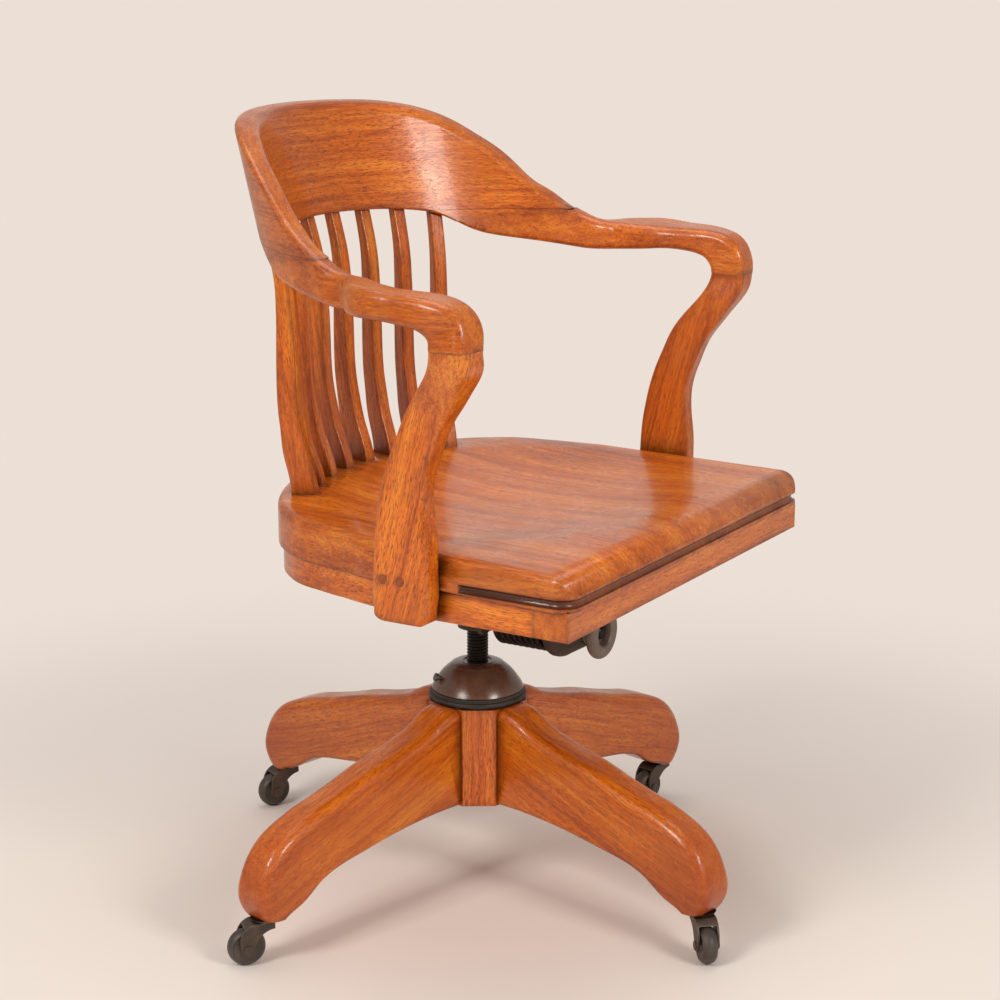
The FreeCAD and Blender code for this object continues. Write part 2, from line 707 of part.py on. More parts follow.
# Heights over the seam's front end, read along the depth of the chair.
crestTop = [(-60, -17), (-29, -14), (-10, -11.5), (8, -6), (22, 1.3), (41, 11), (62, 25), (82, 42), (100, 59)]
crestTop += [(117, 74), (136, 87), (152, 99), (169, 109), (185, 116), (200, 121), (223, 126), (250, 128.5)]
ringLow = [(-60, -43), (-2, -45), (29, -41), (70, -35), (89, -32), (107, -28), (116, -23.5), (124.5, -17.5)]
ringLow += [(133, -11), (141, -5.4), (156, 0), (174, 4), (192, 6.6), (230, 11)]


def ringCentreAt(z):
    """Centre of the leaning ring at a height."""
    return ringCentre + lean * (z - ringReference)


def ringCorner(radius, turn, table):
    """Point of the ring at an angle, on the top or lower curve."""
    z = seamHeight
    for _ in range(40):
        y = ringCentreAt(z) + radius * math.sin(turn)
        z = 0.5 * z + 0.5 * (seamHeight + interpolate(table, y))
    return Vector(radius * math.cos(turn), ringCentreAt(z) + radius * math.sin(turn), z)


def ringSection(degrees, topRound, lowRound):
    """Rounded section of the ring at an angle from the chair's left."""
    turn = math.radians(degrees)
    outer = crestRadius + crestThick
    corners = [
        ringCorner(crestRadius, turn, ringLow),
        ringCorner(outer, turn, ringLow),
        ringCorner(outer, turn, crestTop),
        ringCorner(crestRadius, turn, crestTop),
    ]
    return roundedQuad(corners, [lowRound, lowRound, topRound, topRound])


crestRound = size("crestRound")
armRound = size("armRound")
armLowRound = size("armLowRound")
crestWires = [ringSection(10 + 5 * step, crestRound, 4) for step in range(33)]
ring = loft("CrestRing", crestWires)

# Arm sections before the ring: depth, inner and outer side, turn, lean, low and top heights.
armRows = [
    (-28, -18.5, 24, 6, 0.10, -44, -43, -11.5, -14),
    (-45, -11.5, 43, 2, 0.03, -44, -42, -11.5, -16),
    (-62, -5, 52, 0, 0.0, -43.5, -42, -11.5, -17),
    (-81, 0.5, 55, 0, 0.0, -42, -42.5, -13, -18),
    (-100, 3, 54, 0, 0.0, -42, -44.5, -15, -18),
]
armJoint = size("armJoint")
knuckleY = -119.0
fanRows = [
    (0, 23, 20, 51, 49, 4, 54),
    (15, 22, 20, 51.3, 50.5, 5, 53.8),
    (30, 22, 20, 54, 54.6, 6.5, 53),
    (45, 22, 20, 59, 60, 7.5, 51),
    (60, 22, 20, 61.5, 63.8, 8, 49.5),
    (75, 22, 20, 60.5, 64, 8.5, 50.5),
    (90, 22, 20, 59, 62, 9, 51),
]


def armSection(row):
    """Section across the forearm."""
    depth, inner, outer, degrees, tilt, lowIn, lowOut, topOut, topIn = row
    slope = math.tan(math.radians(degrees))
    centre = 0.5 * (inner + outer)
    corners = []
    for offset, rise in ((inner, lowIn), (outer, lowOut), (outer, topOut), (inner, topIn)):
        y = depth + (offset - centre) * slope + tilt * rise
        corners.append(Vector(seatHalf + offset, y, seamHeight + rise))
    return roundedQuad(corners, [armLowRound, armLowRound, armRound, armRound])


def fanSection(row):
    """Section that turns down round the knuckle onto the post."""
    degrees, lowIn, lowOut, topOut, topIn, inner, outer = row
    turn = math.radians(degrees)
    corners = []
    for offset, reach in ((inner, lowIn), (outer, lowOut), (outer, topOut), (inner, topIn)):
        y = knuckleY - reach * math.sin(turn)
        z = armJoint + reach * math.cos(turn) * (seamHeight - armJoint) / 67.0
        corners.append(Vector(seatHalf + offset, y, z))
    return roundedQuad(corners, [armLowRound, armLowRound, armRound, armRound])


armWires = [ringSection(angle, armRound, armLowRound) for angle in (56, 50, 45, 40, 35, 30, 25, 20, 15, 10)]
armWires += [armSection(row) for row in armRows]
armWires += [fanSection(row) for row in fanRows]
armBlank = loft("ArmBlank", armWires)

seamBlock = newBody("SeamBlock")
seamLine = [(-260, seamHeight - seamFall * (-260 - seamFront)), (320, seamHeight - seamFall * (320 - seamFront))]
sketch = draw(newSketch(seamBlock, "YZ_Plane"), ("line", [
    seamLine[0], seamLine[1], (320, seamHeight - 200), (-260, seamHeight - 200), seamLine[0],
]))
feature(seamBlock, "Pad", sketch, "2 * @seatHalf + 200", symmetric=True)
armLeft = keep("arm_left", common("ArmLeft", armBlank, seamBlock))
keep("arm_right", mirrored("ArmRight", armLeft))

# Posts: sections from the foot up to the joint under the arm.
postRows = [
    (383, -121, -57, 0, 26),
    (405, -121, -57.5, 0, 26),
    (430, -121, -58, 0, 26),
    (450, -121, -59, 0, 26),
    (467, -120.6, -60, 0, 26),
    (485, -118.5, -62, 0, 26),
    (502, -117, -65, 0, 26),
    (520, -117.5, -69, 0, 26),
    (537, -121, -74, 0, 26),
    (553, -127, -80, 0, 26),
    (570, -134, -87.5, 0, 26),
    (585, -142, -94, 0.3, 26.5),
    (600, -153, -103, 1, 28.5),
    (615, -163.5, -115, 2.2, 34),
    (630, -174, -128, 4, 41),
    (645, -180, -137.5, 7, 47.5),
]
footBottom = size("footBottom")


def postHeight(z):
    """Height on the post, moved with its foot and the arm joint."""
    return footBottom + (z - 383) / 275 * (armJoint - footBottom)


def postSection(row):
    """Level section of the post, with the same corner order as the arm's knuckle."""
    z, frontY, rearY, inner, outer = row
    share = min(1.0, max(0.0, (z - 560) / 98))
    z = postHeight(z)
    corners = [
        Vector(seatHalf + inner, rearY, z),
        Vector(seatHalf + outer, rearY + 2 * share, z),
        Vector(seatHalf + outer, frontY + 3 * share, z),
        Vector(seatHalf + inner, frontY, z),
    ]
    radii = [
        4 + share * (armLowRound - 4),
        6 + share * (armLowRound - 6),
        10 + share * (armRound - 10),
        4 + share * (armRound - 4),
    ]
    return roundedQuad(corners, radii)


postBlank = loft("PostBlank", [postSection(row) for row in postRows] + [fanSection(fanRows[-1])])
postShape = newBody("PostFootShape")
footFront, footRear = -121.5, -56.5
sketch = draw(
    newSketch(postShape, "YZ_Plane"),
    ("line", [
        (-220, armJoint + 5), (-220, 520), (footFront - 8, 520), (footFront - 8, footBottom + 60), (footFront, footBottom + 9),
    ]),
    ("arc", [(footFront, footBottom + 9), (footFront + 2.6, footBottom + 2.6), (footFront + 9, footBottom)]),
    ("line", [(footFront + 9, footBottom), (footRear - 16, footBottom)]),
    ("arc", [(footRear - 16, footBottom), (footRear - 4.7, footBottom + 4.7), (footRear, footBottom + 16)]),
    ("line", [(footRear, footBottom + 16), (-40, footBottom + 60), (-40, armJoint + 5), (-220, armJoint + 5)]),
)
feature(postShape, "Pad", sketch, "2 * @seatHalf + 200", symmetric=True)
postTrim = common("PostTrim", postBlank, postShape)
tongue = box("PostTongue", (railFace, -112, footBottom + 2), (seatHalf + 6, -66, seatBottom))
postSolid = fuse("PostSolid", [postTrim, tongue])

# Plugs and screws that hold the posts to the seat board.
plugHeight = seatBottom + size("plugRise")
plugDepth = size("plugDepth")
plugSpots = (-71.0, -91.0)
postFace = seatHalf + 26
screwEnd = seatHalf - 30
plugTools = []
screwTools = []
plugs = []
screws = []
boardBores = []
for spot, y in enumerate(plugSpots):
    tag = str(spot)
    plugStart = Vector(postFace - plugDepth, y, plugHeight)
    plugTools.append(cylinder("PlugBore" + tag, "@plugRadius", "@plugDepth + 6", plugStart, Vector(1, 0, 0)))
    screwLength = "56 - @plugDepth"
    screwStart = Vector(screwEnd, y, plugHeight)
    screwTools.append(cylinder("ScrewBore" + tag, "@screwRadius", screwLength, screwStart, Vector(1, 0, 0)))
    screwTools.append(cylinder("HeadRecess" + tag, "@screwHead", "4", plugStart, Vector(-1, 0, 0)))
    for side in (1, -1):
        tag = str(spot) + ("Left" if side > 0 else "Right")
        outward = Vector(side, 0, 0)
        start = Vector(side * (postFace - plugDepth), y, plugHeight)
        plug = cylinder("Plug" + tag, "@plugRadius", "@plugDepth + 0.4", start, outward)
        plugs.append(plug)
        shank = cylinder("Shank" + tag, "@screwRadius", "52 - @plugDepth", Vector(side * (screwEnd + 4), y, plugHeight), outward)
        headDisc = cylinder("Head" + tag, "@screwHead", "4", start, outward * -1)
        screws.append(fuse("Screw" + tag, [shank, headDisc]))
        board = Vector(side * (screwEnd + 4), y, plugHeight)
        boardBores.append(cylinder("BoardBore" + tag, "@screwRadius", "40", board, outward))
postLeft = keep("arm_post_left", cut("PostLeft", postSolid, plugTools + screwTools))
keep("arm_post_right", mirrored("PostRight", postLeft))
plugSet = doc.addObject("Part::Compound", "PlugSet")
plugSet.Links = plugs
keep("post_plugs", plugSet)
screwSet = doc.addObject("Part::Compound", "ScrewSet")
screwSet.Links = screws
keep("post_screws", screwSet)

# Back slats: sawn profiles between the seat board and the underside of the crest.
slatWidth = size("slatWidth")
halfSlat = slatWidth / 2
slatGap = size("slatGap")
tenonWidth = size("tenonWidth")
tenonDepth = size("tenonDepth")
slatTravel = 45.0
slatFront = [(457, 0), (480, 6), (502, 14), (525, 19.5), (547, 23.8), (570, 26), (592, 26.7), (614, 27.2)]
slatFront += [(636, 28.2), (659, 29.8), (681, 32.3), (703, 37.4), (729, 45)]
slatThick = [(457, 29), (480, 27), (502, 25), (525, 22.4), (547, 20.8), (570, 19.8), (592, 19.2), (614, 18.4)]
slatThick += [(636, 17), (659, 15.6), (681, 14.2), (703, 12.9), (729, 12)]
footRadius = rearArc - size("slatFootInset")
footCentre = seatRear - rearArc
topHeight = seamHeight + 4
topRadius = crestRadius + 0.5 * (crestThick - 12)
topCentre = ringCentreAt(topHeight)
mortises = []
sockets = []
for number in range(8):
    label = "back_slat_" + str(number + 1)
    place = number - 3.5
    footTurn = math.radians(size("slatFootStep") * place)
    topTurn = math.radians(size("slatTopStep") * place)
    foot = Vector(-footRadius * math.sin(footTurn), footCentre + footRadius * math.cos(footTurn), 0)
    top = Vector(-topRadius * math.sin(topTurn), topCentre + topRadius * math.cos(topTurn), 0)
    way = top - foot
    stretch = way.Length / slatTravel
    azimuth = math.degrees(math.atan2(way.y, way.x))
    forward = math.sin(math.radians(azimuth))

    def slatHeight(share, offset):
        """Height along the slat, from the seat's top to the crest's underside."""
        low = seatTop(foot.y + offset * forward)
        high = seamHeight + interpolate(ringLow, foot.y + offset * forward) - slatGap
        return low + share * (high - low)

    fronts = []
    backs = []
    for (z, offset), (_, depth) in zip(slatFront, slatThick):
        share = (z - 457) / (729 - 457)
        near = offset * stretch
        fronts.append((near, slatHeight(share, near)))
        backs.append((near + depth, slatHeight(share, near + depth)))
    slat = newBody(label)
    sketch = draw(
        newSketch(slat, "XZ_Plane"),
        ("curve", fronts),
        ("line", [fronts[-1], backs[-1]]),
        ("curve", backs[::-1]),
        ("line", [backs[0], fronts[0]]),
    )
    pad = feature(slat, "Pad", sketch, "@slatWidth", symmetric=True)
    roundEdges(
        slat, pad, "slatRound",
        lambda edge: edge.Curve.TypeId == "Part::GeomBSplineCurve" and abs(abs(middle(edge).y) - halfSlat) < 0.01,
    )
    footSpan = (fronts[0][0] + 6, backs[0][0] - 6)
    topSpan = (fronts[-1][0] + 2.5, backs[-1][0] - 2.5)
    footEnd = fronts[0][1] - tenonDepth
    topEnd = backs[-1][1] + tenonDepth
    sketch = draw(
        newSketch(slat, "XZ_Plane"),
        ("line", [
            (footSpan[0], footEnd), (footSpan[1], footEnd), (footSpan[1], fronts[0][1] + 3),
            (footSpan[0], fronts[0][1] + 3), (footSpan[0], footEnd),
        ]),
        ("line", [
            (topSpan[0], fronts[-1][1] - 3), (topSpan[1], fronts[-1][1] - 3), (topSpan[1], topEnd),
            (topSpan[0], topEnd), (topSpan[0], fronts[-1][1] - 3),
        ]),
    )
    feature(slat, "Pad", sketch, "@tenonWidth", symmetric=True)
    slat.Placement = Placement(foot, Rotation(Vector(0, 0, 1), azimuth))
    keep(label, slat)
    for target, span, ends in (
        (sockets, footSpan, (footEnd, fronts[0][1] + 12)),
        (mortises, topSpan, (fronts[-1][1] - 12, topEnd)),
    ):
        hole = doc.addObject("Part::Box", "Mortise")
        hole.Length = span[1] - span[0]
        bind(hole, "Width", "@tenonWidth")
        hole.Height = ends[1] - ends[0]
        corner = Placement(Vector(span[0], -tenonWidth / 2, ends[0]), Rotation())
        hole.Placement = slat.Placement.multiply(corner)
        target.append(hole)

    # The crest is housed out a little for the shoulders, where its underside slopes across a slat.
    housing = newBody("Housing" + str(number))
    before = [fronts[-1][i] + 0.3 * (fronts[-2][i] - fronts[-1][i]) for i in (0, 1)]
    behind = [backs[-1][i] + 0.3 * (backs[-2][i] - backs[-1][i]) for i in (0, 1)]
    high = slatGap / 2
    sketch = draw(newSketch(housing, "XZ_Plane"), ("line", [
        (fronts[-1][0] - gap, fronts[-1][1] + high), (backs[-1][0] + gap, backs[-1][1] + high),
        (behind[0] + 0.5, behind[1]), (before[0] - 0.5, before[1]), (fronts[-1][0] - gap, fronts[-1][1] + high),
    ]))
    feature(housing, "Pad", sketch, "@slatWidth + 2 * @runningGap", symmetric=True)
    housing.Placement = slat.Placement
    mortises.append(housing)

keep("crest_rail", cut("Crest", ring, [seamBlock] + mortises))

# Seat irons: a strap under the board and an ear on the tilt axle, each side.
strapFront = -size("strapFront")
strapRear = size("strapRear")
strapWidth = size("strapWidth")
strapBottom = seatBottom - size("strapThick")
ironScrews = []
ironHoles = []
boardHoles = []
for name, side in (("left", 1), ("right", -1)):
    strap = box(
        "Strap" + name,
        (min(side * earInner, side * (earInner + strapWidth)), strapFront, strapBottom),
        (max(side * earInner, side * (earInner + strapWidth)), strapRear, seatBottom),
    )
    ear = newBody("Ear" + name)
    sketch = draw(
        newSketch(ear, "YZ_Plane", side * (earInner + 0.5 * size("earThick"))),
        ("line", [(lug, pivot), (lug + 4, pivot + 18)]),
        ("arc", [(lug + 4, pivot + 18), (lug + 14, pivot + 34), (60, strapBottom + 1)]),
        ("line", [(60, strapBottom + 1), (-85, strapBottom + 1)]),
        ("arc", [(-85, strapBottom + 1), (-54, pivot + 30), (-lug - 12, pivot + 14)]),
        ("line", [(-lug - 12, pivot + 14), (-lug, pivot)]),
        ("arc", [(-lug, pivot), (0, pivot - lug), (lug, pivot)]),
    )
    feature(ear, "Pad", sketch, "@earThick", symmetric=True)
    iron = fuse("Iron" + name, [strap, ear])
    tools = [cylinder("EarBore" + name, "@tiltAxle + @runningGap", "200", Vector(-100, 0, pivot), Vector(1, 0, 0))]
    for spot, y in enumerate((strapFront + 18, 90.0, strapRear - 15)):
        tag = name + str(spot)
        x = side * (earInner + 0.65 * strapWidth)
        tools.append(cylinder("IronHole" + tag, "@screwRadius", "30", Vector(x, y, strapBottom - 5)))
        boardHoles.append(cylinder("IronBore" + tag, "@screwRadius", "19", Vector(x, y, seatBottom - 1)))
        shank = cylinder("IronShank" + tag, "@screwRadius", "@strapThick + 18", Vector(x, y, strapBottom))
        cap = cylinder("IronCap" + tag, "@screwHead", "2.5", Vector(x, y, strapBottom - 2.5))
        ironScrews.append(fuse("IronScrew" + tag, [shank, cap]))
    keep("seat_iron_" + name, cut("IronBored" + name, iron, tools))
ironSet = doc.addObject("Part::Compound", "IronScrewSet")
ironSet.Links = ironScrews
keep("seat_iron_screws", ironSet)
keep("seat_board", cut("SeatBored", seatBody, sockets + boardBores + boardHoles))

# Spring bar: a hanger bolted between the ears that pushes the spring forward.
barFace = -size("barFace")
barThick = size("barThick")
bar = newBody("spring_bar")
hangerTop = strapBottom - 4
barOuter = earInner
barInner = headHalf + 8
sketch = draw(newSketch(bar, "XZ_Plane", -barFace - barThick), ("line", [
    (-barOuter, hangerTop), (-barOuter, rodHeight + 6), (-barOuter + 10, rodHeight - 12), (barOuter - 10, rodHeight - 12),
    (barOuter, rodHeight + 6), (barOuter, hangerTop), (barInner, hangerTop), (barInner, rodHeight + 17),
    (-barInner, rodHeight + 17), (-barInner, hangerTop), (-barOuter, hangerTop),
]))
feature(bar, "Pad", sketch, "@barThick")
sketch = drawCircles(newSketch(bar, "XZ_Plane", -barFace - barThick), [(0, rodHeight)], "rodRadius")
bind(sketch, "Constraints[0]", "@rodRadius + 1.5")
feature(bar, "Pocket", sketch, through=True, backward=True)
keep("spring_bar", bar)

# Tension rod: a stirrup on the anchor pins with the threaded rod in front.
pinEye = size("pinRadius") + gap
rodFront = -size("rodFront")
armIn = bossRadius + faceGap
armThick = headHalf - bossRadius - 2
stirrup = newBody("Stirrup")
crossFront = barFace + barThick + faceGap + 1
sketch = draw(
    newSketch(stirrup, "YZ_Plane"),
    ("line", [(0, rodHeight + 9), (-11, rodHeight + 6), (crossFront, rodHeight + 6), (crossFront, rodHeight - 6)]),
    ("line", [(crossFront, rodHeight - 6), (-11, rodHeight - 6), (0, rodHeight - 9)]),
    ("arc", [(0, rodHeight - 9), (9, rodHeight), (0, rodHeight + 9)]),
)
feature(stirrup, "Pad", sketch, "2 * (@headHalf - 2 + @faceGap)", symmetric=True)
stirrupWide = "2 * @bossRadius + 2 * @faceGap"
clear = cylinder("StirrupRound", "@spindleRadius + 7.5", stirrupWide, Vector(-armIn, 0, rodHeight), Vector(1, 0, 0))
clearBox = box("StirrupBehind", (-armIn, 0, rodHeight - 20), (armIn, 30, rodHeight + 20))
eyes = cylinder("StirrupEyes", "@pinRadius + @runningGap", "100", Vector(-50, 0, rodHeight), Vector(1, 0, 0))
stirrupCut = cut("StirrupCut", stirrup, [clear, clearBox, eyes])
bolt = cylinder("Bolt", "@rodRadius", "@rodFront - 22", Vector(0, rodFront, rodHeight), Vector(0, 1, 0))
keep("tension_rod", fuse("TensionRod", [stirrupCut, bolt]))

# Tilt spring: an unbroken helix round the rod, from the spring bar to the cup.
springOuter = size("springOuter")
springWire = size("springWire")
springTurns = size("springTurns")
cupFace = -size("cupFace")
springRadius = springOuter - springWire
springRear = barFace - faceGap - springWire
springFront = cupFace + faceGap + springWire
springPitch = (springRear - springFront) / springTurns


def coilSpot(turns):
    """Point of the coil's centre line after some turns from its rear end."""
    angle = 2 * math.pi * turns
    return Vector(springRadius * math.cos(angle), springRear - springPitch * turns, rodHeight + springRadius * math.sin(angle))


def coilWay(turns):
    """Direction of the coil's centre line after some turns."""
    angle = 2 * math.pi * turns
    around = 2 * math.pi * springRadius
    way = Vector(-around * math.sin(angle), -springPitch, around * math.cos(angle))
    way.normalize()
    return way


def spaceArc(start, end, leave):
    """Arc between two points that leaves the first in a given direction."""
    chord = end - start
    along = Vector(chord)
    along.normalize()
    side = leave - along * leave.dot(along)
    bend = math.atan2(side.Length, leave.dot(along))
    side.normalize()
    return Part.Arc(start, (start + end) * 0.5 + side * (0.5 * chord.Length * math.tan(bend / 2)), end)


coilEdges = []
for quarter in range(int(round(4 * springTurns))):
    start, end = coilSpot(quarter / 4), coilSpot((quarter + 1) / 4)
    leave, arrive = coilWay(quarter / 4), coilWay((quarter + 1) / 4)
    chord = end - start
    along = chord.dot(leave + arrive)
    spread = 2 * (1 - leave.dot(arrive))
    reach = (-along + math.sqrt(along**2 + spread * chord.dot(chord))) / spread
    knot = (start + end + (leave - arrive) * reach) * 0.5
    turned = (end - arrive * reach) - (start + leave * reach)
    coilEdges.append(spaceArc(start, knot, leave).toShape())
    coilEdges.append(spaceArc(knot, end, turned).toShape())
section = Part.Wire([Part.Circle(coilSpot(0), coilWay(0), springWire).toShape()])
coil = Part.Wire(coilEdges).makePipeShell([section], True, False)
spring = doc.addObject("Part::Feature", "TiltSpring")
spring.Shape = coil
keep("tilt_spring", spring)
spots = [coilSpot(step / 48) for step in range(int(48 * springTurns) + 1)]
apart = min((a - b).Length for index, a in enumerate(spots) for b in spots[index + 24:])
print("spring: pitch", round(springPitch, 2), "least gap to itself", round(apart - 2 * springWire, 2))

# Spring cup and the handwheel behind it, both on the tension rod.
cupRadius = size("cupRadius")
cupThick = size("cupThick")
cup = newBody("spring_cup")
cupBore = size("rodRadius") + gap
lip = springOuter + 1
revolve(cup, [
    ("line", [(cupBore, 0), (lip, 0), (lip, 4), (cupRadius, 4), (cupRadius, -4)]),
    ("arc", [(cupRadius, -4), (cupRadius - 5, -cupThick + 6), (size("gripHub") + 3, -cupThick)]),
    ("line", [(size("gripHub") + 3, -cupThick), (cupBore, -cupThick), (cupBore, 0)]),
])
cup.Placement = Placement(Vector(0, cupFace, rodHeight), Rotation(Vector(1, 0, 0), -90))
keep("spring_cup", cup)

gripRadius = size("gripRadius")
gripThick = size("gripThick")
gripHub = size("gripHub")
gripLength = size("gripLength")
grip = newBody("tension_wheel")
revolve(grip, [
    ("line", [(cupBore, 0), (gripHub, 0), (gripHub, -gripLength + gripThick + 4)]),
    ("line", [(gripHub, -gripLength + gripThick + 4), (gripRadius - 4, -gripLength + gripThick)]),
    ("arc", [
        (gripRadius - 4, -gripLength + gripThick), (gripRadius, -gripLength + gripThick / 2), (gripRadius - 4, -gripLength),
    ]),
    ("line", [(gripRadius - 4, -gripLength), (cupBore, -gripLength), (cupBore, 0)]),
])
grip.Placement = Placement(Vector(0, cupFace - cupThick - faceGap, rodHeight), Rotation(Vector(1, 0, 0), -90))
keep("tension_wheel", grip)

# Casters: a socket in each toe, and a trailing fork with axle and wheel.
stemRadius = size("stemRadius")
wheelRadius = size("wheelRadius")
wheelWidth = size("wheelWidth")
trail = size("casterTrail")
forkPlate = size("forkPlate")
casterAxle = size("casterAxle")
forkInner = wheelWidth / 2 + 0.6
forkOuter = forkInner + forkPlate
flangeBottom = toeFlat - size("flangeThick")
socketTop = toeFlat + size("socketDepth")
crownTop = flangeBottom - faceGap
crownBottom = wheelRadius * 2 + 1.4
headings = {"front_right": -138.8, "front_left": 167.0, "rear_left": 154.2, "rear_right": 139.2}
for number, name in enumerate(["front_right", "front_left", "rear_left", "rear_right"]):
    turn = math.radians(legTurn - 90 + 90 * number)
    stem = Vector(casterCircle * math.cos(turn), casterCircle * math.sin(turn), 0)
    spin = Rotation(Vector(0, 0, 1), headings[name])
    socket = newBody("caster_socket_" + name)
    bore = stemRadius + gap
    revolve(socket, [("line", [
        (bore, flangeBottom), (size("socketFlange") - 2, flangeBottom), (size("socketFlange"), toeFlat),
        (size("socketRadius"), toeFlat), (size("socketRadius"), socketTop), (bore, socketTop), (bore, flangeBottom),
    ])])
    socket.Placement = Placement(stem, Rotation())
    keep("caster_socket_" + name, socket)

    fork = newBody("Fork" + name)
    sketch = draw(
        newSketch(fork, "XZ_Plane"),
        ("line", [(-9, crownTop), (14, crownTop)]),
        ("arc", [(14, crownTop), (24, crownTop - 7), (trail + 6.5, wheelRadius)]),
        ("arc", [(trail + 6.5, wheelRadius), (trail, wheelRadius - 6.5), (trail - 6.5, wheelRadius)]),
        ("arc", [(trail - 6.5, wheelRadius), (6, crownBottom - 8), (-9, crownBottom - 1)]),
        ("line", [(-9, crownBottom - 1), (-9, crownTop)]),
    )
    feature(fork, "Pad", sketch, "@wheelWidth + 1.2 + 2 * @forkPlate", symmetric=True)
    sketch = draw(newSketch(fork, "XZ_Plane"), ("line", [
        (-20, crownBottom), (50, crownBottom), (50, 0), (-20, 0), (-20, crownBottom),
    ]))
    feature(fork, "Pocket", sketch, "@wheelWidth + 1.2", symmetric=True)
    sketch = drawCircles(newSketch(fork, "XZ_Plane"), [(trail, wheelRadius)], "casterAxle")
    feature(fork, "Pocket", sketch, symmetric=True, through=True)
    pin = cylinder("Stem" + name, "@stemRadius", "@socketDepth + @flangeThick", Vector(0, 0, crownBottom))
    forkSolid = fuse("ForkSolid" + name, [fork, pin])
    forkSolid.Placement = Placement(stem, spin)
    keep("caster_fork_" + name, forkSolid)

    axleLength = "@wheelWidth + 1.2 + 2 * @forkPlate"
    across = Vector(0, 1, 0)
    shaft = cylinder("Shaft" + name, "@casterAxle", axleLength, Vector(trail, -forkOuter, wheelRadius), across)
    capNear = cylinder("CapNear" + name, "@casterAxle + 1.6", "1.6", Vector(trail, -forkOuter, wheelRadius), across * -1)
    capFar = cylinder("CapFar" + name, "@casterAxle + 1.6", "1.6", Vector(trail, forkOuter, wheelRadius), across)
    axle = fuse("CasterAxle" + name, [shaft, capNear, capFar])
    axle.Placement = Placement(stem, spin)
    keep("caster_axle_" + name, axle)

    wheel = newBody("caster_wheel_" + name)
    half = wheelWidth / 2
    hole = casterAxle + gap
    revolve(wheel, [
        ("line", [(hole, -half), (6.5, -half), (7.5, -half + 2), (wheelRadius - 5, -half + 2), (wheelRadius - 4, -half + 1)]),
        ("arc", [(wheelRadius - 4, -half + 1), (wheelRadius, 0), (wheelRadius - 4, half - 1)]),
        ("line", [(wheelRadius - 4, half - 1), (wheelRadius - 5, half - 2), (7.5, half - 2), (6.5, half), (hole, half)]),
        ("line", [(hole, half), (hole, -half)]),
    ])
    onAxle = Placement(Vector(trail, 0, wheelRadius), Rotation(Vector(1, 0, 0), 90))
    wheel.Placement = Placement(stem, spin).multiply(onAxle)
    keep("caster_wheel_" + name, wheel)

doc.recompute()
for item in doc.Objects:
    if "Invalid" in item.State or "Error" in item.State:
        raise ValueError("feature failed: " + item.Label + " " + str(item.State))
for label, item in nodes.items():
    if item.Shape.isNull() or not item.Shape.isValid() or item.Shape.Volume <= 0:
        raise ValueError("shape not sound: " + label)
os.makedirs("parts", exist_ok=True)
for label, item in nodes.items():
    item.Shape.exportStep("parts/" + label + ".step")
    print(label, len(item.Shape.Solids), round(item.Shape.Volume))
print(len(nodes), "pieces")
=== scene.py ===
# Bankers swivel chair: varnished oak, a brown iron nut on a screw column, small iron casters.
import json
import math

import bmesh
import bpy
import numpy as np
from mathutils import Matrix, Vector


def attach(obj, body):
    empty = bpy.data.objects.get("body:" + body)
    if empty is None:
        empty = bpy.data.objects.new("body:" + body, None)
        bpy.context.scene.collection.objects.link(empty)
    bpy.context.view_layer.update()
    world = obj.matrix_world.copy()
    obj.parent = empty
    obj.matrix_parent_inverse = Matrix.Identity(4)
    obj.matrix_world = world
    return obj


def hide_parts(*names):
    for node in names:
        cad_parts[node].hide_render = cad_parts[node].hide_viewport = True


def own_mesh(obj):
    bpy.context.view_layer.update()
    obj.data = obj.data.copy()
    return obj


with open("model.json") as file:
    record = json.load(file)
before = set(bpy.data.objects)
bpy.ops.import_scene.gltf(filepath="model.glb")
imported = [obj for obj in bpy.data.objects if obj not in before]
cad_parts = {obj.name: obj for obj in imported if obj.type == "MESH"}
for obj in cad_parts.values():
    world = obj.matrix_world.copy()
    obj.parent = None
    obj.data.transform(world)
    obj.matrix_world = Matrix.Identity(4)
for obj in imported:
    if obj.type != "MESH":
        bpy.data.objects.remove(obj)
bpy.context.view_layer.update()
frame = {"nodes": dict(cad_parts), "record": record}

nodes = frame["nodes"]
scene = bpy.context.scene
print("frame loaded:", len(nodes), "pieces")


# A colour given as eight-bit screen values becomes the linear light that the shaders use.
def colour(red, green, blue):
    channels = np.array([red, green, blue]) / 255
    linear = np.where(channels < 0.04045, channels / 12.92, ((channels + 0.055) / 1.055) ** 2.4)
    return (*linear.tolist(), 1.0)


# Camera and lamps

view = {
    "place": (-2.0753, -1.2852, 1.0360),  # metres, in the chair's frame
    "toward": (0.8306, 0.5028, -0.2396),
    "lens": 83.18,
    "sensor": 36,  # millimetres wide
}

camera = bpy.data.objects.new("camera", bpy.data.cameras.new("camera"))
camera.data.lens = view["lens"]
camera.data.sensor_width = view["sensor"]
camera.location = view["place"]
camera.rotation_euler = Vector(view["toward"]).to_track_quat("-Z", "Y").to_euler()
scene.collection.objects.link(camera)
scene.camera = camera
scene.view_settings.view_transform = "Standard"

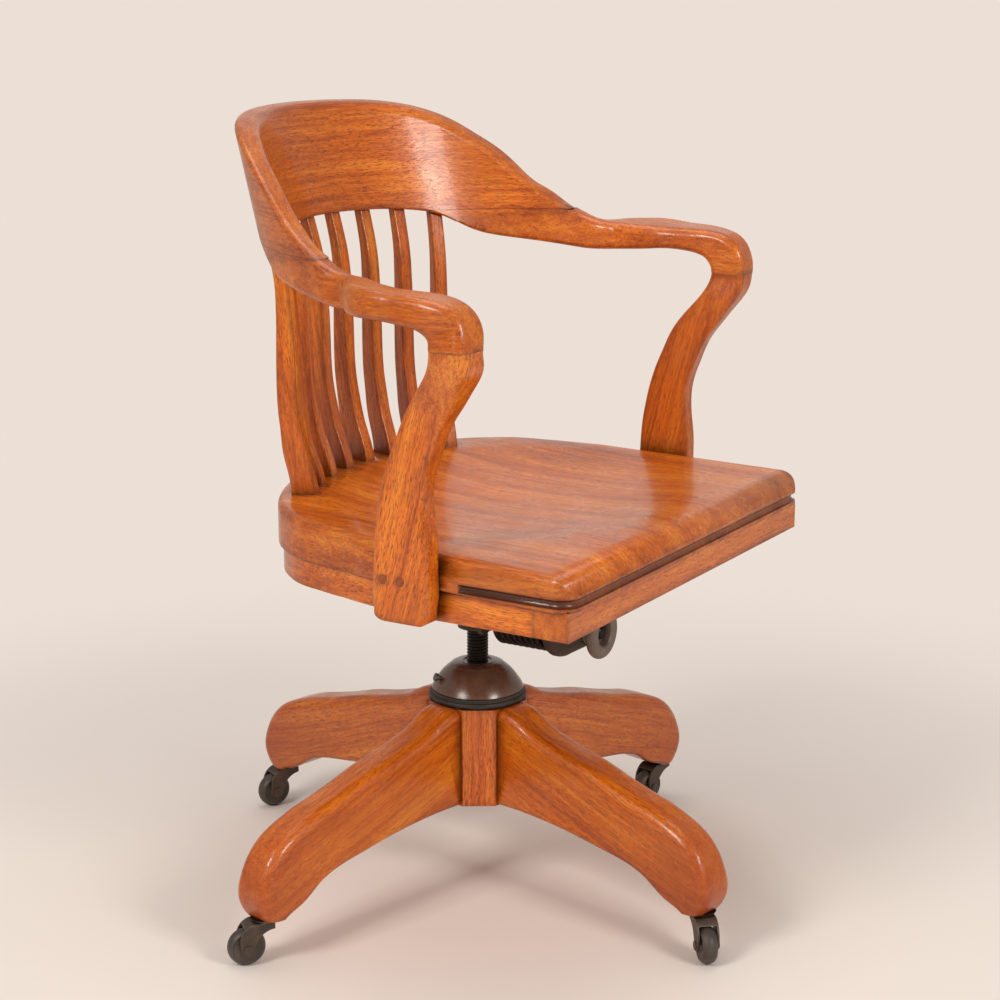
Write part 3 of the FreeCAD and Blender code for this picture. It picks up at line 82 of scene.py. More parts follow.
lampTarget = (0, 0, 0.45)
lamps = {
    "keyLamp": dict(place=(-2.6, 0.5, 2.2), size=0.9, power=46, tint=(255, 248, 240)),
    "fillLamp": dict(place=(-0.8, -2.9, 1.9), size=0.9, power=44, tint=(255, 247, 238)),
    "topLamp": dict(place=(0.3, 0.2, 3.0), size=1.6, power=20, tint=(255, 250, 246)),
    "backLamp": dict(place=(2.7, 1.7, 1.3), size=2.4, power=5, tint=(255, 246, 240)),
}
for label, lamp in lamps.items():
    light = bpy.data.lights.new(label, "AREA")
    light.energy = lamp["power"]
    light.size = lamp["size"]
    light.color = colour(*lamp["tint"])[:3]
    holder = bpy.data.objects.new(label, light)
    holder.location = lamp["place"]
    aim = Vector(lampTarget) - Vector(lamp["place"])
    holder.rotation_euler = aim.to_track_quat("-Z", "Y").to_euler()
    scene.collection.objects.link(holder)
print("camera and lamps set")


# Shader helpers

def startMaterial(label):
    material = bpy.data.materials.new(label)
    material.use_nodes = True
    material.node_tree.nodes.clear()
    return material, material.node_tree


# A shader node, with its sockets filled from values or from other sockets.
def put(tree, kind, inputs=None, **settings):
    made = tree.nodes.new("ShaderNode" + kind)
    for key, value in settings.items():
        setattr(made, key, value)
    for key, value in (inputs or {}).items():
        if isinstance(value, bpy.types.NodeSocket):
            tree.links.new(value, made.inputs[key])
        else:
            made.inputs[key].default_value = value
    return made


def blendColours(tree, factor, first, second, mode="MIX"):
    made = put(tree, "Mix", {0: factor, 6: first, 7: second}, data_type="RGBA", blend_type=mode)
    return made.outputs[2]


def maths(tree, action, first, second=0.0, clamped=False):
    made = put(tree, "Math", {0: first, 1: second}, operation=action)
    made.use_clamp = clamped
    return made.outputs[0]


def times(tree, first, second):
    return maths(tree, "MULTIPLY", first, second)


# A value between low and high becomes one between newLow and newHigh, and stops at both ends.
def spread(tree, value, low, high, newLow=0.0, newHigh=1.0):
    made = put(tree, "MapRange", {0: value, 1: low, 2: high, 3: newLow, 4: newHigh})
    return made.outputs[0]


def objectPlace(tree):
    return put(tree, "TexCoord").outputs["Object"]


def split(tree, place):
    return put(tree, "SeparateXYZ", {0: place}).outputs


def noise(tree, place, scale, detail, output=0):
    return put(tree, "TexNoise", {"Vector": place, "Scale": scale, "Detail": detail}).outputs[output]


# Noise drawn out along the first axis: each feature is as long and wide as the size says, in metres.
def streaks(tree, place, size, detail):
    length, width = size
    stretched = put(tree, "Mapping", {0: place, 3: (1 / length, 1 / width, 1 / width)})
    return noise(tree, stretched.outputs[0], 1.0, detail)


# One on flat faces, and less where the surface turns within the radius.
def flatness(tree, radius):
    rounded = put(tree, "Bevel", {0: radius}, samples=4).outputs[0]
    facing = put(tree, "NewGeometry").outputs["Normal"]
    return put(tree, "VectorMath", {0: rounded, 1: facing}, operation="DOT_PRODUCT").outputs[1]


# One in the open, and less in a crevice narrower than the reach.
def openness(tree, reach):
    return put(tree, "AmbientOcclusion", {"Distance": reach}, samples=6).outputs["AO"]


def finishMaterial(tree, shader):
    output = tree.nodes.new("ShaderNodeOutputMaterial")
    tree.links.new(shader.outputs[0], output.inputs[0])


# Varnished oak

oak = {
    "deep": (152, 62, 6),
    "middle": (204, 100, 14),
    "light": (230, 138, 36),
    "pore": (92, 36, 4),
    "fleck": (232, 150, 72),
    "red": (150, 52, 16),
    "grime": (72, 28, 6),
    # Painted shade: the colour below, with its level and reach further down, darkens joints and crevices
    # where other surfaces close in.
    "creviceShade": (58, 22, 6),
    "seam": (60, 24, 8),
    "bandSize": (0.6, 0.03),  # length along the grain and width across it, metres
    "ringSize": (0.3, 0.0045),
    "fineSize": (0.04, 0.0013),
    "poreSize": (0.008, 0.0009),
    "scarSize": (0.008, 0.0018),
    "fleckSize": (0.012, 0.0045),
    "shares": (0.38, 0.34, 0.28),  # of bands, rings and fine streaks in the tone
    "sway": 0.014,  # how far the grain wanders
    "poreLevel": (0.3, 0.7),
    "fleckLevel": 0.16,
    "scarLevel": 0.4,
    "edgeLevel": (0.12, 0.66),
    "creviceShadeLevel": 0.74,
    "seamLevel": 0.5,
    "toeLevel": 0.6,
    "edgeRadius": 0.011,
    "creviceShadeReach": 0.03,
    "toeReach": (0.24, 0.345),
    "roughness": (0.22, 0.38),
    "relief": 0.0004,
}


# The grain's own frame, with the grain along its first axis. A round piece measures its grain along the arc
# about a vertical axis: around is that axis's depth and the arc's radius.
def grainFrame(tree, grain, shift, around):
    place = objectPlace(tree)
    if around is None:
        turn = Vector(grain).rotation_difference(Vector((1, 0, 0))).to_euler()
        offset = (shift, shift * 0.7, shift * 1.3)
        return put(tree, "Mapping", {0: place, 1: offset, 2: turn}).outputs[0]
    parts = split(tree, place)
    depth = maths(tree, "SUBTRACT", parts[1], around[0])
    arc = times(tree, maths(tree, "ARCTAN2", depth, parts[0]), around[1])
    squares = maths(tree, "ADD", maths(tree, "POWER", parts[0], 2.0), maths(tree, "POWER", depth, 2.0))
    height = maths(tree, "ADD", parts[2], shift)
    return put(tree, "CombineXYZ", {0: arc, 1: maths(tree, "SQRT", squares), 2: height}).outputs[0]


# Painted shade in the groove round the seat's front edge, darkest on the two sides.
def paintGrooveShade(tree, base):
    parts = split(tree, objectPlace(tree))
    away = maths(tree, "ABSOLUTE", maths(tree, "SUBTRACT", parts[2], grooveShade["height"]))
    inGroove = spread(tree, away, grooveShade["half"] * 1.25, grooveShade["half"] * 0.8)
    inGroove = times(tree, inGroove, spread(tree, parts[1], grooveShade["back"], grooveShade["back"] - 0.002))
    level = spread(tree, maths(tree, "ABSOLUTE", parts[0]), *grooveShade["side"], *grooveShade["levels"])
    return blendColours(tree, times(tree, inGroove, level), base, colour(*grooveShade["tint"]))


# Oak seen in its own grain frame: tonal bands, fine streaks, pores as short dashes and ray flecks.
# Edges hold darker, older varnish, and crevices and joints are darkened as painted shade.
# Boards is the width of glued boards, seams are the heights of joints, and toe is a leg's colour at its end.
def makeOak(label, grain=(0, 0, 1), shift=0.0, tone=1.0, around=None, boards=0.0, red=0.0, seams=(),
            grooveShaded=False, toe=None):
    material, tree = startMaterial("oak_" + label)
    place = grainFrame(tree, grain, shift, around)
    sway = noise(tree, place, 6.0, 2.0, output=1)
    sway = put(tree, "VectorMath", {0: sway, 1: (0.5, 0.5, 0.5)}, operation="SUBTRACT").outputs[0]
    sway = put(tree, "VectorMath", {0: sway, "Scale": oak["sway"]}, operation="SCALE").outputs[0]
    grainPlace = put(tree, "VectorMath", {0: place, 1: sway}, operation="ADD").outputs[0]

    bands = streaks(tree, grainPlace, oak["bandSize"], 2.0)
    rings = streaks(tree, grainPlace, oak["ringSize"], 3.0)
    fine = streaks(tree, grainPlace, oak["fineSize"], 2.0)
    pores = spread(tree, streaks(tree, grainPlace, oak["poreSize"], 1.0), 0.55, 0.64)
    scars = spread(tree, streaks(tree, grainPlace, oak["scarSize"], 0.0), 0.76, 0.84)
    flecks = spread(tree, streaks(tree, grainPlace, oak["fleckSize"], 1.0), 0.6, 0.74)
    patches = noise(tree, place, 7.0, 3.0)
    worn = noise(tree, place, 38.0, 4.0)

    bandShare, ringShare, fineShare = oak["shares"]
    mixed = maths(tree, "ADD", times(tree, bands, bandShare), times(tree, rings, ringShare))
    mixed = maths(tree, "ADD", mixed, times(tree, fine, fineShare))
    ramp = put(tree, "ValToRGB", {0: spread(tree, mixed, 0.35, 0.65)})
    ramp.color_ramp.elements[0].color = colour(*oak["deep"])
    ramp.color_ramp.elements[1].color = colour(*oak["light"])
    ramp.color_ramp.elements.new(0.52).color = colour(*oak["middle"])

    shade = spread(tree, patches, 0.3, 0.7, 0.84 * tone, 1.12 * tone)
    if boards:
        strip = maths(tree, "FLOOR", maths(tree, "DIVIDE", split(tree, objectPlace(tree))[0], boards))
        tint = put(tree, "TexWhiteNoise", {"W": strip}, noise_dimensions="1D").outputs[0]
        shade = times(tree, shade, spread(tree, tint, 0.0, 1.0, 0.93, 1.06))
    grey = put(tree, "CombineColor", {0: shade, 1: shade, 2: shade}).outputs[0]
    base = blendColours(tree, 1.0, ramp.outputs[0], grey, "MULTIPLY")
    base = blendColours(tree, red, base, colour(*oak["red"]))
    base = blendColours(tree, times(tree, flecks, oak["fleckLevel"]), base, colour(*oak["fleck"]))
    poreLevel = times(tree, pores, spread(tree, patches, 0.35, 0.65, *oak["poreLevel"]))
    base = blendColours(tree, poreLevel, base, colour(*oak["pore"]))
    base = blendColours(tree, times(tree, scars, oak["scarLevel"]), base, colour(*oak["grime"]))

    edge = spread(tree, flatness(tree, oak["edgeRadius"]), 0.995, 0.9)
    edge = times(tree, edge, spread(tree, worn, 0.36, 0.62, *oak["edgeLevel"]))
    base = blendColours(tree, edge, base, colour(*oak["grime"]))
    # Painted shade: darker where other surfaces close in, at joints and in crevices.
    creviceShade = spread(tree, openness(tree, oak["creviceShadeReach"]), 0.82, 0.34, 0.0, oak["creviceShadeLevel"])
    base = blendColours(tree, creviceShade, base, colour(*oak["creviceShade"]))
    for height in seams:
        away = maths(tree, "SUBTRACT", split(tree, objectPlace(tree))[2], height)
        line = spread(tree, maths(tree, "ABSOLUTE", away), 0.001, 0.0003, 0.0, oak["seamLevel"])
        base = blendColours(tree, line, base, colour(*oak["seam"]))
    # Painted shade in the seat's front groove.
    if grooveShaded:
        base = paintGrooveShade(tree, base)
    if toe:
        flat = put(tree, "VectorMath", {0: objectPlace(tree), 1: (1, 1, 0)}, operation="MULTIPLY").outputs[0]
        reach = put(tree, "VectorMath", {0: flat}, operation="LENGTH").outputs[1]
        atToe = spread(tree, reach, *oak["toeReach"], 0.0, oak["toeLevel"])
        base = blendColours(tree, atToe, base, colour(*toe))

    rough = spread(tree, worn, 0.3, 0.7, *oak["roughness"])
    height = maths(tree, "SUBTRACT", times(tree, rings, 0.5), times(tree, pores, 0.8))
    relief = put(tree, "Bump", {"Strength": 0.32, "Distance": oak["relief"], "Height": height}).outputs[0]
    shader = put(tree, "BsdfPrincipled", {
        "Base Color": base, "Roughness": rough, "Normal": relief,
        "IOR": 1.46, "Coat Weight": 0.3, "Coat Roughness": 0.12,
    })
    finishMaterial(tree, shader)
    return material


# Iron, steel and rubber

metalWearAndShade = {
    "mottleScale": 55.0,
    "speckScale": 420.0,
    "broadScale": 17.0,
    "edgeRadius": 0.0016,
    "edgeLevel": (0.2, 0.7),
    # The reach and colour of the painted shade in the metal's hollows.
    "creviceShadeReach": 0.008,
    "creviceShade": (14, 11, 9),
    "coatRoughness": 0.22,
}


# Old painted or bare metal: a mottled base, paler or rustier patches, edges rubbed to another colour, and
# painted shade in the hollows.
def makeMetal(label, base, patch, edgeColour, roughness, metallic=0.0, coat=0.0, grit=0.0006):
    material, tree = startMaterial(label)
    place = objectPlace(tree)
    mottle = put(tree, "TexNoise", {
        "Vector": place, "Scale": metalWearAndShade["mottleScale"], "Detail": 5.0, "Roughness": 0.6,
    }).outputs[0]
    speck = noise(tree, place, metalWearAndShade["speckScale"], 3.0)
    broad = noise(tree, place, metalWearAndShade["broadScale"], 2.0)
    shown = blendColours(tree, spread(tree, mottle, 0.4, 0.66, 0.0, 0.75), colour(*base), colour(*patch))
    shown = blendColours(tree, spread(tree, speck, 0.62, 0.72, 0.0, 0.5), shown, colour(*patch))
    edge = spread(tree, flatness(tree, metalWearAndShade["edgeRadius"]), 0.99, 0.86)
    edge = times(tree, edge, spread(tree, broad, 0.35, 0.6, *metalWearAndShade["edgeLevel"]))
    shown = blendColours(tree, edge, shown, colour(*edgeColour))
    # Painted shade in the hollows, where other surfaces close in.
    creviceShade = spread(tree, openness(tree, metalWearAndShade["creviceShadeReach"]), 0.75, 0.3, 0.0, 0.6)
    shown = blendColours(tree, creviceShade, shown, colour(*metalWearAndShade["creviceShade"]))
    rough = spread(tree, mottle, 0.3, 0.7, *roughness)
    relief = put(tree, "Bump", {"Strength": 0.5, "Distance": grit, "Height": mottle}).outputs[0]
    relief = put(tree, "Bump", {
        "Strength": 0.3, "Distance": grit * 0.3, "Height": speck, "Normal": relief,
    }).outputs[0]
    shader = put(tree, "BsdfPrincipled", {
        "Base Color": shown, "Roughness": rough, "Normal": relief, "Metallic": metallic,
        "Coat Weight": coat, "Coat Roughness": metalWearAndShade["coatRoughness"],
    })
    finishMaterial(tree, shader)
    return material


metals = {
    "brown_cast_iron": dict(base=(92, 62, 46), patch=(112, 80, 62), edgeColour=(64, 42, 32),
                            roughness=(0.22, 0.32), coat=0.5, grit=0.0002),
    "collar_rubber": dict(base=(38, 33, 29), patch=(62, 54, 46), edgeColour=(84, 72, 60),
                          roughness=(0.5, 0.7)),
    "blackened_steel": dict(base=(20, 17, 15), patch=(40, 32, 27), edgeColour=(96, 84, 74),
                            roughness=(0.32, 0.5), metallic=0.6, grit=0.0002),
    "dark_cast_iron": dict(base=(44, 35, 29), patch=(72, 54, 42), edgeColour=(104, 88, 76),
                           roughness=(0.42, 0.62)),
    "worn_grey_iron": dict(base=(92, 77, 66), patch=(124, 108, 96), edgeColour=(58, 46, 38),
                           roughness=(0.4, 0.55)),
    "steel": dict(base=(108, 100, 92), patch=(76, 64, 54), edgeColour=(150, 142, 134),
                  roughness=(0.3, 0.45), metallic=0.8, grit=0.0002),
    "caster_iron": dict(base=(52, 42, 35), patch=(88, 68, 54), edgeColour=(124, 106, 92),
                        roughness=(0.38, 0.56)),
    "caster_tyre": dict(base=(58, 50, 44), patch=(84, 74, 65), edgeColour=(112, 100, 90),
                        roughness=(0.4, 0.6)),
}
finishes = {label: makeMetal(label, **values) for label, values in metals.items()}

# The oak pieces: which way each one's grain runs, and how its tone differs from its neighbours', which for
# the legs is partly painted shade

# Leg tones, in the order of the ends: the legs reaching to +x and +y are darker as painted shade under the
# seat, and the others keep their own tone.
legPlan = {"turn": -11.74, "slope": 0.34, "toe": (150, 56, 10), "tonesAndShade": (1.0, 0.92, 0.9, 1.06)}
# Where the painted shade in the seat's groove lies, how dark it is on the front and on the sides, and its
# colour.
grooveShade = {"height": 0.419, "half": 0.0045, "back": -0.141, "side": (0.24, 0.256), "levels": (0.5, 0.88),
          "tint": (70, 34, 18)}
ends = ["front_right", "front_left", "rear_left", "rear_right"]
slats = 8
oakPieces = {
    "base_hub": dict(grain=(0, 0, 1), shift=0.4, tone=0.98, red=0.16),
    "seat_board": dict(grain=(0, 1, 0), shift=2.2, tone=1.03, boards=0.118, grooveShaded=True),
    "front_rail": dict(grain=(1, 0, 0), shift=1.3, tone=1.0),
    "side_rail_left": dict(grain=(0, 1, 0), shift=1.9, tone=1.12),
    "side_rail_right": dict(grain=(0, 1, 0), shift=2.7, tone=1.14),
    "rear_rail": dict(around=(-0.101, 0.28), shift=0.2, tone=1.04),
    "arm_post_left": dict(grain=(0, -0.26, 1), shift=3.1, tone=1.06),
    "arm_post_right": dict(grain=(0, -0.26, 1), shift=3.7, tone=1.06),
    "arm_left": dict(grain=(0.1, 1, 0), shift=4.3, tone=0.99, seams=(0.658, 0.725)),
    "arm_right": dict(grain=(-0.1, 1, 0), shift=4.9, tone=0.97, seams=(0.658, 0.725)),
    "crest_rail": dict(around=(-0.03, 0.26), shift=0.7, tone=0.95, seams=(0.725,)),
    "post_plugs": dict(grain=(1, 0, 0), shift=0.9, tone=0.72, red=0.35),
}
for number, end in enumerate(ends):
    heading = math.radians(legPlan["turn"]) - math.pi / 2 + number * math.pi / 2
    oakPieces["leg_" + end] = dict(
        grain=(math.cos(heading), math.sin(heading), -legPlan["slope"]), shift=5.2 + 0.6 * number,
        tone=legPlan["tonesAndShade"][number], toe=legPlan["toe"],
    )
for number in range(1, slats + 1):
    oakPieces["back_slat_" + str(number)] = dict(
        grain=(0, 0.14, 1), shift=7 + 0.3 * number, tone=0.98 + 0.02 * (number % 3),
    )
woods = {label: makeOak(label, **values) for label, values in oakPieces.items()}
slotOf = {part["node"]: part["material_slot"] for part in frame["record"]["subparts"]}


def finishOf(label):
    if label in woods:
        return woods[label]
    if label.startswith("caster_wheel"):
        return finishes["caster_tyre"]
    if label.startswith("caster_socket"):
        return finishes["steel"]
    return finishes[slotOf[label]]


for label, piece in nodes.items():
    piece.data.materials.clear()
    piece.data.materials.append(finishOf(label))
print("finishes made:", len(bpy.data.materials))


# Mesh helpers

# A smooth-shaded object whose edges stay sharp where its faces turn by more than the angle.
def meshPiece(label, mesh, sharp):
    mesh.polygons.foreach_set("use_smooth", np.ones(len(mesh.polygons), bool))
    mesh.set_sharp_from_angle(angle=math.radians(sharp))
    piece = bpy.data.objects.new(label, mesh)
    scene.collection.objects.link(piece)
    return piece


# A mesh from a grid of points: rows by columns, closed round either way when asked.
def gridPiece(label, points, closeRows=False, closeColumns=False, sharp=32):
    rows, columns = points.shape[:2]
    down = np.arange(rows if closeRows else rows - 1)
    across = np.arange(columns if closeColumns else columns - 1)
    row, column = np.meshgrid(down, across, indexing="ij")
    nextRow, nextColumn = (row + 1) % rows, (column + 1) % columns
    corners = [(row, column), (row, nextColumn), (nextRow, nextColumn), (nextRow, column)]
    faces = np.stack([first * columns + second for first, second in corners], -1)
    mesh = bpy.data.meshes.new(label)
    mesh.from_pydata(points.reshape(-1, 3).tolist(), [], faces.reshape(-1, 4).tolist())
    return meshPiece(label, mesh, sharp)


def outwards(piece):
    work = bmesh.new()
    work.from_mesh(piece.data)
    bmesh.ops.recalc_face_normals(work, faces=work.faces)
    work.to_mesh(piece.data)
    work.free()
    return piece


# A copy of a node's mesh, with its loose triangles joined at their corners.
def weldedCopy(label):
    work = bmesh.new()
    work.from_mesh(nodes[label].data)
    bmesh.ops.remove_doubles(work, verts=work.verts, dist=0.00001)
    return work


# A turned piece: each profile point (radius, height) is carried round a full circle about the axis.
def turnedPiece(label, profile, base, axis="Z", steps=96):
    profile = np.array(profile)
    turn = np.linspace(0, 2 * np.pi, steps, endpoint=False)
    first = profile[:, :1] * np.cos(turn)
    second = profile[:, :1] * np.sin(turn)
    height = np.repeat(profile[:, 1:], steps, axis=1)
    order = {"Z": (first, second, height), "Y": (first, height, second)}[axis]
    points = np.stack(order, -1) + np.array(base)
    return outwards(gridPiece(label, points, closeRows=True, closeColumns=True))


# Points of a circular arc through three points, ends included: its centre is as far from each of the three.
def arcThrough(first, middle, last, count=8):
    (ax, ay), (bx, by), (cx, cy) = first, middle, last
    a, b, c = ax**2 + ay**2, bx**2 + by**2, cx**2 + cy**2
    double = 2 * (ax * (by - cy) + bx * (cy - ay) + cx * (ay - by))
    middleX = (a * (by - cy) + b * (cy - ay) + c * (ay - by)) / double
    middleY = (a * (cx - bx) + b * (ax - cx) + c * (bx - ax)) / double
    angles = np.unwrap([math.atan2(y - middleY, x - middleX) for x, y in (first, middle, last)])
    turn = np.linspace(angles[0], angles[2], count)
    radius = math.hypot(ax - middleX, ay - middleY)
    return np.stack([middleX + radius * np.cos(turn), middleY + radius * np.sin(turn)], -1).tolist()


# A new piece takes over a node's finish and slot, and moves with the body.
def dress(piece, body, label):
    piece.data.materials.clear()
    piece.data.materials.append(finishOf(label))
    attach(piece, body)
    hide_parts(label)
    return piece


# Domed nut on the collar, a turned casting with a stepped cap

dome = {
    "radius": 0.0508,
    "base": 0.2213,
    "lip": 0.0008,
    "swell": (0.0006, 0.0062),  # out of the straight flank, and height
    "ball": 0.0529,  # radius of the spherical crown
    "drop": 0.0173,  # ball's centre under the dome's base
    "crownPoints": 12,
    "flank": 0.0445,
    "cap": 0.0290,
    "capStep": 0.0007,
    "capMiddle": (0.025, 0.02935),
    "rim": 0.0200,
    "rimWidth": 0.004,
    "rimFall": 0.0012,
    "height": 0.0308,
    "noseRadius": 0.018,
    "noseBottom": 0.150,
    "bore": 0.01205,
}


def crownHeight(radius):
    return math.sqrt(dome["ball"] ** 2 - radius**2) - dome["drop"]


cap, rim, tall = dome["cap"], dome["rim"], dome["height"]
low, nose, lip, fall = dome["noseBottom"] - dome["base"], dome["noseRadius"], dome["lip"], dome["rimFall"]
swellOut, swellHeight = dome["swell"]
domeProfile = [(dome["bore"], low), (nose, low), (nose, 0.0)]
domeProfile += [(dome["radius"] - lip, 0.0), (dome["radius"], lip)]
domeProfile += [(0.5 * (dome["radius"] + dome["flank"]) + swellOut, swellHeight)]
domeProfile += [(r, crownHeight(r)) for r in np.linspace(dome["flank"], cap + lip, dome["crownPoints"])]
domeProfile += arcThrough((cap, crownHeight(cap) + dome["capStep"]), dome["capMiddle"], (rim, tall - 0.0004))
domeProfile += [(rim - 0.001, tall), (rim - dome["rimWidth"], tall)]
domeProfile += [(rim - dome["rimWidth"] - 0.001, tall - fall), (dome["bore"], tall - fall)]
dress(turnedPiece("swivel_nut_dome", domeProfile, (0, 0, dome["base"])), "nut", "swivel_nut")

# Screw column

thread = {
    "radius": 0.0119,
    "depth": 0.0013,
    "pitch": 0.0036,
    "bottom": 0.136,
    "top": 0.3200,
    "flank": 3.2,  # steepness of the thread's sides
    "root": 0.25,  # share of the groove's bottom
    "around": 40,
    "perTurn": 10,
}


# The radius is the crest less the depth times a clipped saw of (height in pitches less the turn in circles),
# so the groove climbs one pitch in a turn.
def threadedSpindle():
    rows = int((thread["top"] - thread["bottom"]) / thread["pitch"] * thread["perTurn"])
    height = np.linspace(thread["bottom"], thread["top"], rows)[:, None]
    turn = np.linspace(0, 2 * np.pi, thread["around"], endpoint=False)[None, :]
    phase = (height / thread["pitch"] - turn / (2 * np.pi)) % 1.0
    saw = np.clip(np.abs(phase - 0.5) * thread["flank"] - thread["root"], 0, 1)
    radius = thread["radius"] - thread["depth"] * (1 - saw)
    body = np.stack([radius * np.cos(turn), radius * np.sin(turn), np.broadcast_to(height, radius.shape)], -1)
    onAxis = np.array([0.0, 0.0, 1.0])
    capped = np.concatenate([body[:1] * onAxis, body, body[-1:] * onAxis])
    return outwards(gridPiece("spindle_thread", capped, closeColumns=True, sharp=60))


dress(threadedSpindle(), "column", "spindle")

# Spring cup and handwheel, turned about the tension rod

drive = {
    "height": 0.308,
    "bore": 0.00705,
    "cupFace": -0.0970,
    "cupRadius": 0.0336,
    "cupBack": ((0.0061, 0), (0.0019, 0.0032), (0, 0.0075)),  # how far in from the radius, and how deep
    "cupShoulder": ((0, 0.0115), (0.001, 0.0162), (0.0036, 0.0204)),
    "cupLength": 0.0425,
    "neck": 0.0175,
    "wheelGap": 0.0003,
    "wheelRadius": 0.0287,
    "wheelThick": 0.010,
    "wheelRound": 0.0027,
    "wheelFront": -0.1605,
    "hub": 0.015,
    "hubRound": 0.0015,
    "recess": 0.008,
    "rodFront": -0.157,
}
radius, neck, bore, length = drive["cupRadius"], drive["neck"], drive["bore"], drive["cupLength"]
cupProfile = [(bore, 0.0)] + arcThrough(*[(radius - inset, -deep) for inset, deep in drive["cupBack"]])
cupProfile += arcThrough(*[(radius - inset, -deep) for inset, deep in drive["cupShoulder"]], 6)
cupProfile += [(neck, -length + 0.001), (neck - 0.001, -length), (bore, -length)]
cup = turnedPiece("spring_cup_casting", cupProfile, (0, drive["cupFace"], drive["height"]), "Y")
dress(cup, "cup", "spring_cup")

radius, hub, thick = drive["wheelRadius"], drive["hub"], drive["wheelThick"]
back = drive["cupFace"] - length - drive["wheelGap"] - drive["wheelFront"]
inner, hubRound, recess = radius - drive["wheelRound"], drive["hubRound"], drive["recess"]
wheelProfile = [(bore, back), (hub, back), (hub, thick + hubRound), (hub + hubRound, thick), (inner, thick)]
wheelProfile += arcThrough((inner, thick), (radius, thick / 2), (inner, 0.0), 10)[1:]
wheelProfile += [(hub + 0.001, 0.0), (hub - 0.0005, 0.0015), (hub - hubRound, recess), (bore, recess)]
wheel = turnedPiece("tension_wheel_casting", wheelProfile, (0, drive["wheelFront"], drive["height"]), "Y")
dress(wheel, "handwheel", "tension_wheel")


# A node's own mesh, welded, with its points moved by a formula on whole arrays.
def reshaped(label, newLabel, formula):
    mesh = bpy.data.meshes.new(newLabel)
    work = weldedCopy(label)
    work.to_mesh(mesh)
    work.free()
    points = np.zeros(len(mesh.vertices) * 3)
    mesh.vertices.foreach_get("co", points)
    mesh.vertices.foreach_set("co", formula(points.reshape(-1, 3)).reshape(-1))
    mesh.update()
    return meshPiece(newLabel, mesh, 34)


# No point of the rod stands further forward than its end in the handwheel's recess.
def shortenRod(points):
    return np.stack([points[:, 0], np.maximum(points[:, 1], drive["rodFront"]), points[:, 2]], -1)


dress(reshaped("tension_rod", "tension_rod_short", shortenRod), "rod", "tension_rod")

# Tilt spring: the coil is parted at its middle, and each half is closed and moves with the rod

spring = {"middle": -0.064, "tiltKeep": 0.6, "cupKeep": 0.71}


# The welded coil is cut by a plane square to its axis, and the cut is closed again.
def halfSpring(label, side):
    work = weldedCopy("tilt_spring")
    everything = work.verts[:] + work.edges[:] + work.faces[:]
    cut = (0, spring["middle"], 0)
    bmesh.ops.bisect_plane(work, geom=everything, plane_co=cut, plane_no=(0, side, 0), clear_inner=True)
    bmesh.ops.holes_fill(work, edges=[edge for edge in work.edges if edge.is_boundary])
    bmesh.ops.triangulate(work, faces=[face for face in work.faces if len(face.verts) > 4])
    bmesh.ops.recalc_face_normals(work, faces=work.faces)
    mesh = bpy.data.meshes.new(label)
    work.to_mesh(mesh)
    work.free()
    return dress(meshPiece(label, mesh, 40), "rod", "tilt_spring")


backHalf = halfSpring("tilt_spring_back", 1)
frontHalf = halfSpring("tilt_spring_front", -1)
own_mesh(backHalf)
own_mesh(frontHalf)

# Legs: the upper face stands a little prouder than the solid's over the middle of its length

legShape = {
    "reach": (0.051, 0.066, 0.084, 0.113, 0.145, 0.204, 0.262, 0.290, 0.311, 0.327, 0.341),
    "lift": (0.0, 0.0015, 0.0065, 0.0065, 0.006, 0.0068, 0.009, 0.008, 0.007, 0.006, 0.0),
    "top": (0.2106, 0.208, 0.195, 0.183, 0.175, 0.159, 0.142, 0.133, 0.123, 0.108, 0.078),
    "low": (0.100, 0.0995, 0.099, 0.099, 0.096, 0.089, 0.0725, 0.060, 0.050, 0.050, 0.050),
    "leastDepth": 0.01,
}


# Each point rises by the lift at its distance from the axis, in full at the top and not at all underneath.
def liftLeg(points):
    reach = np.hypot(points[:, 0], points[:, 1])
    top = np.interp(reach, legShape["reach"], legShape["top"])
    low = np.interp(reach, legShape["reach"], legShape["low"])
    share = np.clip((points[:, 2] - low) / np.maximum(top - low, legShape["leastDepth"]), 0, 1)
    lift = np.interp(reach, legShape["reach"], legShape["lift"]) * share
    return np.stack([points[:, 0], points[:, 1], points[:, 2] + lift], -1)


for end in ends:
    dress(reshaped("leg_" + end, "leg_" + end + "_shaped", liftLeg), "base", "leg_" + end)

# Seat: the sides behind the posts draw in more than the solid's round corner does

seatShape = {
    "depth": (-0.075, -0.062, -0.031, 0.010, 0.047, 0.083, 0.102, 0.120, 0.145, 0.200),
    "draw": (0.0, 0.0, 0.010, 0.019, 0.020, 0.012, 0.0085, 0.0025, 0.0, 0.0),
    "half": 0.264,
}


# Each point moves towards the middle by the draw at its depth, times the cube of its distance out.
def drawSeat(points):
    draw = np.interp(points[:, 1], seatShape["depth"], seatShape["draw"])
    out = np.clip(np.abs(points[:, 0]) / seatShape["half"], 0, 1) ** 3
    x = points[:, 0] - np.sign(points[:, 0]) * draw * out
    return np.stack([x, points[:, 1], points[:, 2]], -1)


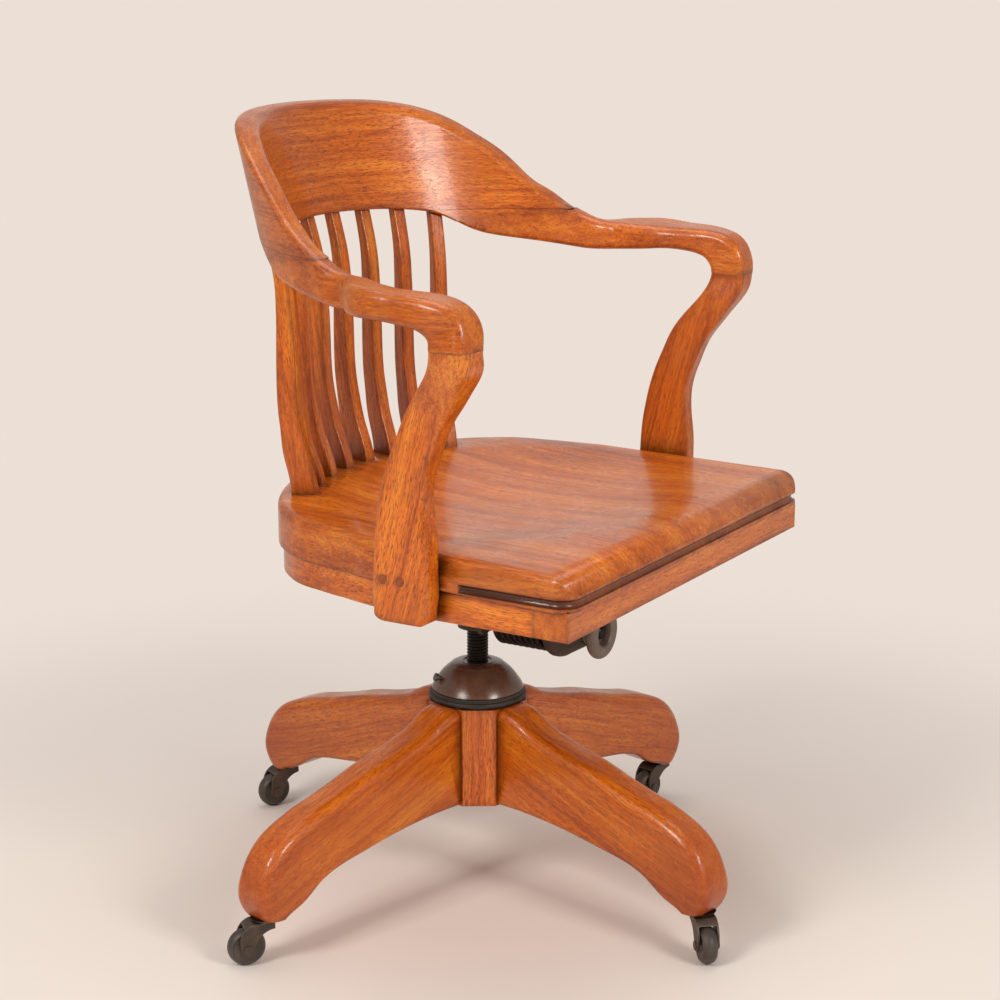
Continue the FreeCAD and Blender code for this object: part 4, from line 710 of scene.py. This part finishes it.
for label in ("seat_board", "rear_rail"):
    dress(reshaped(label, label + "_shaped", drawSeat), "seat", label)
print("shaped pieces made")

# Floor: pale paint round the chair, which passes into the backdrop's colour further out

studio = {"backdrop": (236, 224, 214), "softTint": (255, 249, 243), "light": 0.4, "mirrored": 0.12}
ground = {"half": 30.0, "tint": (236, 229, 223), "fadeStart": 0.4, "fadeEnd": 1.35}
half = ground["half"]
corners = np.array([[(-half, -half, 0), (half, -half, 0)], [(-half, half, 0), (half, half, 0)]], float)
floor = gridPiece("floor", corners)
material, tree = startMaterial("floor_paint")
paint = put(tree, "BsdfPrincipled", {
    "Base Color": colour(*ground["tint"]), "Roughness": 0.7, "Specular IOR Level": 0.2,
})
plain = put(tree, "Emission", {0: colour(*studio["backdrop"]), 1: 1.0})
distance = put(tree, "VectorMath", {0: objectPlace(tree)}, operation="LENGTH").outputs[1]
fade = put(tree, "MapRange", {0: distance, 1: ground["fadeStart"], 2: ground["fadeEnd"]},
           interpolation_type="SMOOTHSTEP").outputs[0]
shown = times(tree, fade, put(tree, "LightPath").outputs["Is Camera Ray"])
finishMaterial(tree, put(tree, "MixShader", {0: shown, 1: paint.outputs[0], 2: plain.outputs[0]}))
floor.data.materials.append(material)

# World: soft light on the chair, and the backdrop's colour wherever the camera looks past it

world = bpy.data.worlds.new("studio")
world.use_nodes = True
tree = world.node_tree
tree.nodes.clear()
rays = put(tree, "LightPath").outputs
seen = maths(tree, "ADD", rays["Is Camera Ray"], rays["Is Transmission Ray"])
seen = maths(tree, "ADD", seen, times(tree, rays["Is Glossy Ray"], studio["mirrored"]), clamped=True)
softLight = put(tree, "Background", {0: colour(*studio["softTint"]), 1: studio["light"]})
backdrop = put(tree, "Background", {0: colour(*studio["backdrop"]), 1: 1.0})
both = put(tree, "MixShader", {0: seen, 1: softLight.outputs[0], 2: backdrop.outputs[0]})
output = tree.nodes.new("ShaderNodeOutputWorld")
tree.links.new(both.outputs[0], output.inputs[0])
scene.world = world
print("floor and studio set")
